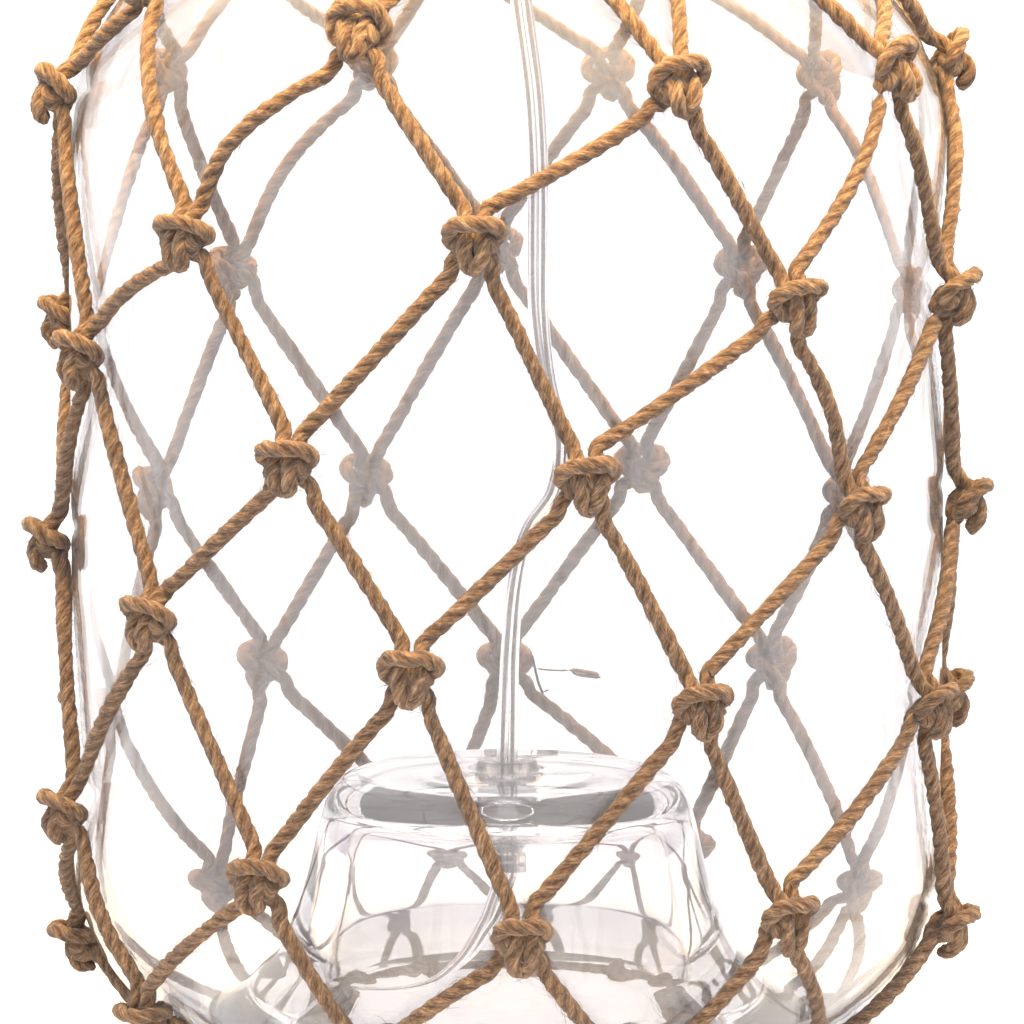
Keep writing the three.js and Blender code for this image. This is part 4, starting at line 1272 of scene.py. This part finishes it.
def holder_base():
    """The lampholder's lower cup, before the hole for the switch bar is cut."""
    profile = softened([
        (12, HOLDER_Z), (12, HOLDER_Z + 5), (HOLDER_RADIUS, HOLDER_Z + 14),
        (HOLDER_RADIUS, HOLDER_Z + 15), (HOLDER_RADIUS, HOLDER_SEAM_Z - 2.4),
        (HOLDER_RADIUS, HOLDER_SEAM_Z - 0.4), (HOLDER_RADIUS - 1.5, HOLDER_SEAM_Z - 0.4),
        (HOLDER_RADIUS - 1.5, HOLDER_Z + 15), (10.5, HOLDER_Z + 6.2), (5.3, HOLDER_Z + 6.2), (5.3, HOLDER_Z),
    ], 0.7, 4)
    return turned(profile, 120)


def cut_with(piece, *cutters):
    """Cuts solid shapes, each (points, faces) in mm, out of a piece and applies the result."""
    for cutter in cutters:
        mesh = bpy.data.meshes.new("cutter")
        mesh.from_pydata((np.asarray(cutter[0]) * MM).tolist(), [], cutter[1])
        tool = bpy.data.objects.new("cutter", mesh)
        bpy.context.scene.collection.objects.link(tool)
        cut = piece.modifiers.new("cut", "BOOLEAN")
        cut.operation, cut.solver, cut.object = "DIFFERENCE", "EXACT", tool
        bpy.context.view_layer.update()
        graph = bpy.context.evaluated_depsgraph_get()
        result = bpy.data.meshes.new_from_object(piece.evaluated_get(graph))
        piece.modifiers.clear()
        piece.data = result
        bpy.data.objects.remove(tool)


def rod(radius, start, stop, segments=48, round_end=0.8):
    """A round rod along X with rounded ends."""
    length = stop - start
    profile = [(0, 0), *arc((radius - round_end, round_end), round_end, -90, 0, 4),
               *arc((radius - round_end, length - round_end), round_end, 0, 90, 4), (0, length)]
    return moved(pointing(turned_solid(np.array(profile), segments), (1, 0)), (start, 0, 0))


cup = add_piece("holder_cup", holder_base(), BLACK_PLASTIC, nodes=["holder_base"])
cut_with(cup, moved(rod(3.4, -30, 30), (0, 0, SWITCH_Z)))

SWITCH_START = -25 - SWITCH_TRAVEL / 2
SWITCH_END = 25 - SWITCH_TRAVEL / 2


def switch_bar():
    """The push-bar switch: a plain rod with a grooved grip at each end."""
    profile = [(0, 0.0)]
    ends = [(2.4, 0.0), (2.9, 0.5)]
    grooves = []
    for i in range(4):
        z = 1.2 + 0.9 * i
        grooves += [(3.0, z), (2.7, z + 0.3), (2.7, z + 0.5), (3.0, z + 0.75)]
    length = SWITCH_END - SWITCH_START
    half = ends + grooves
    profile += half + [(r, length - z) for r, z in half[::-1]] + [(0, length)]
    lying = pointing(turned_solid(np.array(profile), 40), (1, 0))
    return moved(lying, (SWITCH_START, 0, SWITCH_Z))


add_piece("push_bar", switch_bar(), BRASS, body="switch", nodes=["switch_bar"])


def terminal_block():
    """The porcelain block: a disc with a stepped edge."""
    return turned_solid(np.array([
        (0, BLOCK_Z), (15.6, BLOCK_Z), (16.5, BLOCK_Z + 0.8), (16.5, BLOCK_Z + 5.2), (15.2, BLOCK_Z + 5.6),
        (15.2, BLOCK_Z + 6.4), (14.6, BLOCK_Z + BLOCK_THICKNESS), (0, BLOCK_Z + BLOCK_THICKNESS),
    ]), 72)


add_piece("porcelain_block", terminal_block(), PORCELAIN, nodes=["terminal_block"])


def contact_spring():
    """The sprung centre contact: a strip bent up under the bulb's tip."""
    line = smooth_line([
        (-4, 0, BLOCK_Z + BLOCK_THICKNESS + 0.75), (-2.4, 0, BLOCK_Z + BLOCK_THICKNESS + 0.8),
        (0, 0, BLOCK_Z + BLOCK_THICKNESS + 1.35), (2.4, 0, BLOCK_Z + BLOCK_THICKNESS + 1.3),
        (4, 0, BLOCK_Z + BLOCK_THICKNESS + 0.9),
    ], 0.4)
    count = len(line)
    section = np.array(softened([(-2, -0.25), (2, -0.25), (2, 0.25), (-2, 0.25)], 0.12, 2))
    sides = np.repeat([[0.0, 1.0, 0.0]], count, 0)
    ups = np.repeat([[0.0, 0.0, 1.0]], count, 0)
    points, faces = swept(line, sides, ups, np.repeat(section[None], count, 0))
    return points, [face[::-1] for face in faces]


add_piece("contact_spring", contact_spring(), BRASS, nodes=["centre_contact"])
SHELL_Z = BLOCK_Z + BLOCK_THICKNESS + 0.3
add_piece(
    "threaded_shell", thread(14.6, 0.5, 3.6, SHELL_Z, BLOCK_Z + 26, 14.2, segments=96, steps_per_pitch=12),
    BRASS, nodes=["screw_shell"],
)


def holder_body():
    """The upper shell: a flange that a shade rests on, and an outside thread for the shade ring."""
    z = HOLDER_SEAM_Z
    low = [(17.2, z), (HOLDER_RADIUS, z), (HOLDER_RADIUS, SHADE_SEAT_Z - 2), (23.4, SHADE_SEAT_Z - 2),
           (24, SHADE_SEAT_Z - 1.4), (24, SHADE_SEAT_Z - 0.3), (23.7, SHADE_SEAT_Z),
           (HOLDER_RADIUS, SHADE_SEAT_Z), (HOLDER_RADIUS, SHADE_SEAT_Z + 1.2)]
    wall = [(HOLDER_RADIUS, h) for h in np.arange(SHADE_SEAT_Z + 1.6, HOLDER_TOP_Z - 1.2, 0.3)]
    top = [(HOLDER_RADIUS, HOLDER_TOP_Z - 0.8), (HOLDER_RADIUS - 0.6, HOLDER_TOP_Z), (16, HOLDER_TOP_Z),
           (15.4, HOLDER_TOP_Z - 0.6), (15.4, HOLDER_TOP_Z - 2), (17.2, HOLDER_TOP_Z - 3)]

    def ripple(angles, height):
        inside = SHADE_SEAT_Z + 2 < height < HOLDER_TOP_Z - 1.6
        return (-0.3 + 0.3 * np.cos(angles - 2 * math.pi * height / 3.0)) if inside else np.zeros_like(angles)

    return turned([*low, *wall, *top], 96, ripple=ripple)


add_piece("holder_shell", holder_body(), BLACK_PLASTIC, nodes=["holder_body"])


def shade_ring():
    """The screwed ring that holds a shade, ribbed for the fingers."""
    z = SHADE_RING_Z
    inner = HOLDER_RADIUS + 0.5
    profile = softened([
        (23.6, z), (24, z + 0.3), (24, z + 1.7), (23.6, z + 2), (21.8, z + 2.3), (21.8, z + 7.6),
        (21.4, z + 8), (inner, z + 8), (inner, z),
    ], 0.25, 2)
    return turned(profile, 216, ripple=knurled(0.45, 36, z + 2.4, z + 7.8))


add_piece(
    "ribbed_ring", shade_ring(), BLACK_PLASTIC, body="shade_ring", nodes=["shade_ring"],
)

# ---------------------------------------------------------------- bulb


def bulb_base():
    """The screw cap: rolled thread, with a rim where it grips the glass."""
    low = BULB_BASE_Z
    heights = np.arange(low + 3.6, low + 23.4, 0.3)

    def wave(angles, z):
        ends = min(1.0, max(0.0, (z - low - 4.5) / 2.0), max(0.0, (low + 22 - z) / 2.0))
        return -0.9 + 0.9 * (1 - ends + ends * (0.5 + 0.5 * np.cos(angles - 2 * math.pi * z / 3.6)))

    outer = [(5.2, low), (9.6, low), (11.6, low + 1.6), (BULB_BASE_RADIUS - 0.4, low + 3.4)]
    outer += [(BULB_BASE_RADIUS, z) for z in heights]
    outer += [(BULB_BASE_RADIUS, low + 24)]
    inner = [(r - 0.6, z + 0.2) for r, z in outer[::-1]]
    threaded = set(np.round(heights, 3))

    def ripple(angles, z):
        near = {round(float(z), 3), round(float(z) - 0.2, 3)}
        return wave(angles, z) if near & threaded else np.zeros_like(angles)

    return turned([*outer, *inner], 96, ripple=ripple)


def bulb_glass_profile(offset):
    shoulder = smooth_profile([
        (12 - offset, BULB_BASE_Z + 16), (12 - offset, BULB_BASE_Z + 25), (14 - offset, BULB_BASE_Z + 33),
        (20 - offset, BULB_BASE_Z + 44),
        *arc((0, BULB_CENTRE_Z), BULB_RADIUS - offset, -30, 0, 3),
    ], 1.5)
    return shoulder + arc((0, BULB_CENTRE_Z), BULB_RADIUS - offset, 0, 90, 24)[1:-1]


def bulb_glass():
    """The clear envelope: two skins joined round the neck."""
    segments = 96
    outer, inner = bulb_glass_profile(0), bulb_glass_profile(0.8)
    angles = 2 * math.pi * np.arange(segments) / segments
    points = []
    for radius, z in inner[::-1] + outer:
        points.append(np.stack([radius * np.sin(angles), -radius * np.cos(angles), np.full(segments, z)], 1))
    rows = len(points)
    faces = ring_faces(rows, segments)
    crown_z = BULB_CENTRE_Z + BULB_RADIUS
    points = np.concatenate([*points, [[0, 0, crown_z - 0.8]], [[0, 0, crown_z]]])
    low, high = rows * segments, rows * segments + 1
    last = (rows - 1) * segments
    for j in range(segments):
        k = (j + 1) % segments
        faces.append((low, k, j))
        faces.append((high, last + j, last + k))
    return points, faces


def rod_between(start, stop, radius, segments=12):
    """A round rod between two points, with rounded ends."""
    start, stop = np.array(start, float), np.array(stop, float)
    line = np.linspace(0, 1, 9)[:, None] * (stop - start) + start
    sides, ups = carried_frames(line)
    shrink = np.array([0.4, 0.8, 1, 1, 1, 1, 1, 0.8, 0.4])
    line[1] = start + unit(stop - start) * 0.4 * radius
    line[-2] = stop - unit(stop - start) * 0.4 * radius
    angles = 2 * math.pi * np.arange(segments) / segments
    circle = np.stack([np.cos(angles), np.sin(angles)], 1)
    return swept(line, sides, ups, radius * shrink[:, None, None] * circle[None])


FILAMENT_FOOT_Z = BULB_BASE_Z + 44
FILAMENT_HUB_Z = BULB_CENTRE_Z + 14


def round_bulb(radius, turn, z):
    return radius * math.sin(turn), -radius * math.cos(turn), z


def filament_sticks():
    """Four coated sticks, leaning in from a wide foot to the hub."""
    sticks = []
    for i in range(4):
        turn = math.pi / 2 * i
        low = round_bulb(10.6, turn, FILAMENT_FOOT_Z + 2)
        high = round_bulb(5.8, turn, FILAMENT_HUB_Z - 3)
        sticks.append(rod_between(low, high, 0.95))
    return merged(*sticks)


def filament_wires():
    """The bare wires: from each stick's ends to the hub and the foot ring, a strut from the ring to the
    stem, and a post up to the hub."""
    wires = []
    for i in range(4):
        turn = math.pi / 2 * i
        top, hub = round_bulb(5.8, turn, FILAMENT_HUB_Z - 3), round_bulb(1.6, turn, FILAMENT_HUB_Z - 1.2)
        low, ring = round_bulb(10.6, turn, FILAMENT_FOOT_Z + 2), round_bulb(11.4, turn, FILAMENT_FOOT_Z)
        wires += [rod_between(top, hub, 0.25, 8), rod_between(low, ring, 0.25, 8)]
    steps = 49
    angles = np.linspace(0, 2 * math.pi, steps)
    loop = np.stack([11.4 * np.sin(angles), -11.4 * np.cos(angles), np.full(steps, FILAMENT_FOOT_Z)], 1)
    sides, ups = carried_frames(loop)
    around = np.linspace(0, 2 * math.pi, 9)[:-1]
    circle = 0.25 * np.stack([np.cos(around), np.sin(around)], 1)
    wires.append(swept(loop, sides, ups, np.repeat(circle[None], steps, 0)))
    wires.append(rod_between((11.4, 0, FILAMENT_FOOT_Z), (1.2, 0, FILAMENT_FOOT_Z - 6), 0.25, 8))
    wires.append(rod_between((0, 0, FILAMENT_HUB_Z - 1), (0, 0, BULB_BASE_Z + 39), 0.3, 8))
    return merged(*wires)


add_piece("screw_cap", bulb_base(), STEEL, body="bulb", nodes=["bulb_base"])
add_piece("clear_envelope", bulb_glass(), BULB_GLASS, body="bulb", nodes=["bulb_glass"])
add_piece("glowing_sticks", filament_sticks(), GLOW, body="bulb", nodes=["bulb_filament"])
add_piece("filament_wires", filament_wires(), STEEL, body="bulb")
add_piece(
    "glass_stem",
    turned_solid(np.array([
        (0, BULB_BASE_Z + 12), *arc((3.5, BULB_BASE_Z + 13.5), 1.5, -90, 0, 4), (5, BULB_BASE_Z + 15),
        (3.6, BULB_BASE_Z + 21), (2.7, BULB_BASE_Z + 27), (2.1, BULB_BASE_Z + 36),
        *arc((0, BULB_BASE_Z + 38), 2.0, 0, 90, 5)[:-1], (0, BULB_BASE_Z + 40),
    ]), 40),
    BULB_GLASS, body="bulb", nodes=["bulb_stem"],
)
add_piece(
    "tip_contact",
    turned_solid(np.array([
        (0, BULB_TIP_Z), (1.6, BULB_TIP_Z + 0.1), (3.2, BULB_TIP_Z + 0.6), (4.3, BULB_TIP_Z + 1.5),
        (4.6, BULB_TIP_Z + 2.4), (4.6, BULB_BASE_Z + 4), (0, BULB_BASE_Z + 4),
    ]), 40),
    STEEL, body="bulb", nodes=["bulb_contact"],
)

# ---------------------------------------------------------------- bush and clamp


def exit_bush():
    """The clear bush in the punt: flanged above and below the glass, with a ribbed tail down the flex."""
    roof_z = PUNT_Z - PUNT_THICKNESS
    flanges = softened([
        (7.2, roof_z - 2), (7.2, roof_z - 0.3), (4.7, roof_z - 0.3), (4.7, PUNT_Z + 0.3), (7.6, PUNT_Z + 0.3),
        (6.8, BUSH_TOP_Z), (2.85, BUSH_TOP_Z), (2.85, BUSH_BOTTOM_Z),
    ], 0.5, 3, closed=False)
    ribs = []
    for i in range(4):
        z = BUSH_BOTTOM_Z + 1.2 + 1.1 * i
        radius = 3.7 + 0.3 * i
        ribs += [(radius, z), (radius, z + 0.5), (radius - 0.5, z + 0.65), (radius - 0.5, z + 0.95)]
    return turned([*flanges, (3.4, BUSH_BOTTOM_Z), *ribs, (5, roof_z - 3)], 64)


def flex_clamp():
    """The moulded block that grips the flex."""
    half = CLAMP_WIDTH / 2
    low, high = CLAMP_TOP_Z - CLAMP_HEIGHT, CLAMP_TOP_Z
    outline = np.array(softened([(-half, -half), (half, -half), (half, half), (-half, half)], 1.0, 4))
    hole = np.array(superellipse(2.8, 2.8, 5, len(outline)))
    start = np.argmin(np.linalg.norm(hole - outline[0] * 0.5, axis=1))
    hole = np.roll(hole, -start, 0)
    rows = [
        (outline * 0.95, low), (outline, low + 0.3), (outline, high - 0.3), (outline * 0.95, high),
        (hole, high), (hole, low),
    ]
    points = np.concatenate([np.column_stack([ring, np.full(len(ring), z)]) for ring, z in rows])
    return points, ring_faces(len(rows), len(outline), closed_rows=True)


def clamp_screws():
    """Two small screw heads on the clamp's front face."""
    screws = []
    for x in (-3.3, 3.3):
        head = turned_solid(np.array([
            (0, 0), (0.85, 0), (0.85, 0.25), (0.6, 0.5), (0.25, 0.55), (0, 0.45),
        ]), 20)
        lying = pointing(head, (0, -1))
        screws.append(moved(lying, (x, -CLAMP_WIDTH / 2 + 0.05, CLAMP_TOP_Z - CLAMP_HEIGHT / 2)))
    return merged(*screws)


add_piece("flanged_bush", exit_bush(), CLEAR_MOULDING, nodes=["exit_bush"])
add_piece("clamp_block", flex_clamp(), CLEAR_MOULDING, nodes=["flex_clamp"])
add_piece("clamp_screws", clamp_screws(), STEEL)

# ---------------------------------------------------------------- stage and light

# The glow's lamps, in metres: where they hang, and where they point.
GLOW_RING_RADIUS, GLOW_RING_Z = 0.17, 0.4
GLOW_AIM_RADIUS, GLOW_AIM_Z = 0.1, 0.2


def make_floor():
    size = 60.0
    mesh = bpy.data.meshes.new("floor")
    corners = [(-size, -size, 0), (size, -size, 0), (size, size, 0), (-size, size, 0)]
    mesh.from_pydata(corners, [], [(0, 1, 2, 3)])
    m = Nodes("floor")
    grain = m.noise(m.coords("Object"), 0.02, 3.0)
    colour = m.ramp(grain, [(0.3, (0.45, 0.45, 0.45)), (0.7, (0.47, 0.47, 0.47))])
    m.link(colour, m.shader.inputs["Base Color"])
    m.set(Roughness=0.85, Specular_IOR_Level=0.2, Emission_Color=(1, 1, 1, 1), Emission_Strength=0.72)
    mesh.materials.append(m.material)
    floor = bpy.data.objects.new("floor", mesh)
    bpy.context.scene.collection.objects.link(floor)


def make_world(overhead, horizon, front, sides):
    """Soft light from a pale studio: brightest overhead and in front, with darker, faintly lilac cards at
    both sides."""
    world = bpy.data.worlds.new("studio")
    world.use_nodes = True
    bpy.context.scene.world = world
    tree = world.node_tree
    background = tree.nodes["Background"]
    coords = tree.nodes.new("ShaderNodeTexCoord")
    split = tree.nodes.new("ShaderNodeSeparateXYZ")
    tree.links.new(coords.outputs["Generated"], split.inputs["Vector"])
    height = tree.nodes.new("ShaderNodeValToRGB")
    height.color_ramp.elements[0].position = 0.15
    height.color_ramp.elements[0].color = (horizon, horizon, horizon, 1)
    height.color_ramp.elements[1].position = 0.6
    height.color_ramp.elements[1].color = (overhead, overhead, overhead, 1)
    tree.links.new(split.outputs["Z"], height.inputs["Fac"])
    aside = tree.nodes.new("ShaderNodeMath")
    aside.operation = "ABSOLUTE"
    tree.links.new(split.outputs["X"], aside.inputs[0])
    cards = tree.nodes.new("ShaderNodeValToRGB")
    cards.color_ramp.elements[0].position = 0.62
    cards.color_ramp.elements[0].color = (1, 1, 1, 1)
    cards.color_ramp.elements[1].position = 0.92
    cards.color_ramp.elements[1].color = (*sides, 1)
    tree.links.new(aside.outputs[0], cards.inputs["Fac"])
    before = tree.nodes.new("ShaderNodeMapRange")
    before.inputs["From Min"].default_value = 0.0
    before.inputs["From Max"].default_value = -0.5
    before.inputs["To Min"].default_value = 1.0
    before.inputs["To Max"].default_value = front / horizon
    tree.links.new(split.outputs["Y"], before.inputs["Value"])
    both = tree.nodes.new("ShaderNodeMix")
    both.data_type = "RGBA"
    both.blend_type = "MULTIPLY"
    both.inputs[0].default_value = 1.0
    tree.links.new(height.outputs["Color"], both.inputs[6])
    tree.links.new(cards.outputs["Color"], both.inputs[7])
    tree.links.new(both.outputs[2], background.inputs["Color"])
    tree.links.new(before.outputs["Result"], background.inputs["Strength"])


def add_glow():
    """The bulb's warm glow on the net's upper rounds, from a ring of small lamps over the shoulder."""
    for angle in range(0, 360, 60):
        turn = math.radians(angle)
        outward = Vector((math.sin(turn), -math.cos(turn), 0))
        place = outward * GLOW_RING_RADIUS + Vector((0, 0, GLOW_RING_Z))
        aim = outward * GLOW_AIM_RADIUS + Vector((0, 0, GLOW_AIM_Z))
        data = bpy.data.lights.new("glow", "SPOT")
        data.energy, data.color, data.shadow_soft_size = 5.0, (1.0, 0.64, 0.2), 0.03
        data.spot_size, data.spot_blend = math.radians(96), 1.0
        light = bpy.data.objects.new("glow", data)
        light.location = place
        light.rotation_euler = (aim - place).to_track_quat("-Z", "Y").to_euler()
        light.visible_glossy = False
        light.visible_transmission = False
        bpy.context.scene.collection.objects.link(light)


def add_bulb_light():
    """The bulb's own warm light."""
    data = bpy.data.lights.new("bulb_light", "POINT")
    data.energy, data.color, data.shadow_soft_size = 0.5, (1.0, 0.62, 0.27), 0.02
    light = bpy.data.objects.new("bulb_light", data)
    light.location = (0, 0, BULB_CENTRE_Z * MM)
    bpy.context.scene.collection.objects.link(light)


make_floor()
make_world(1.65, 1.03, 1.45, (0.27, 0.25, 0.34))
add_glow()
add_bulb_light()
bpy.context.scene.view_settings.view_transform = "Standard"
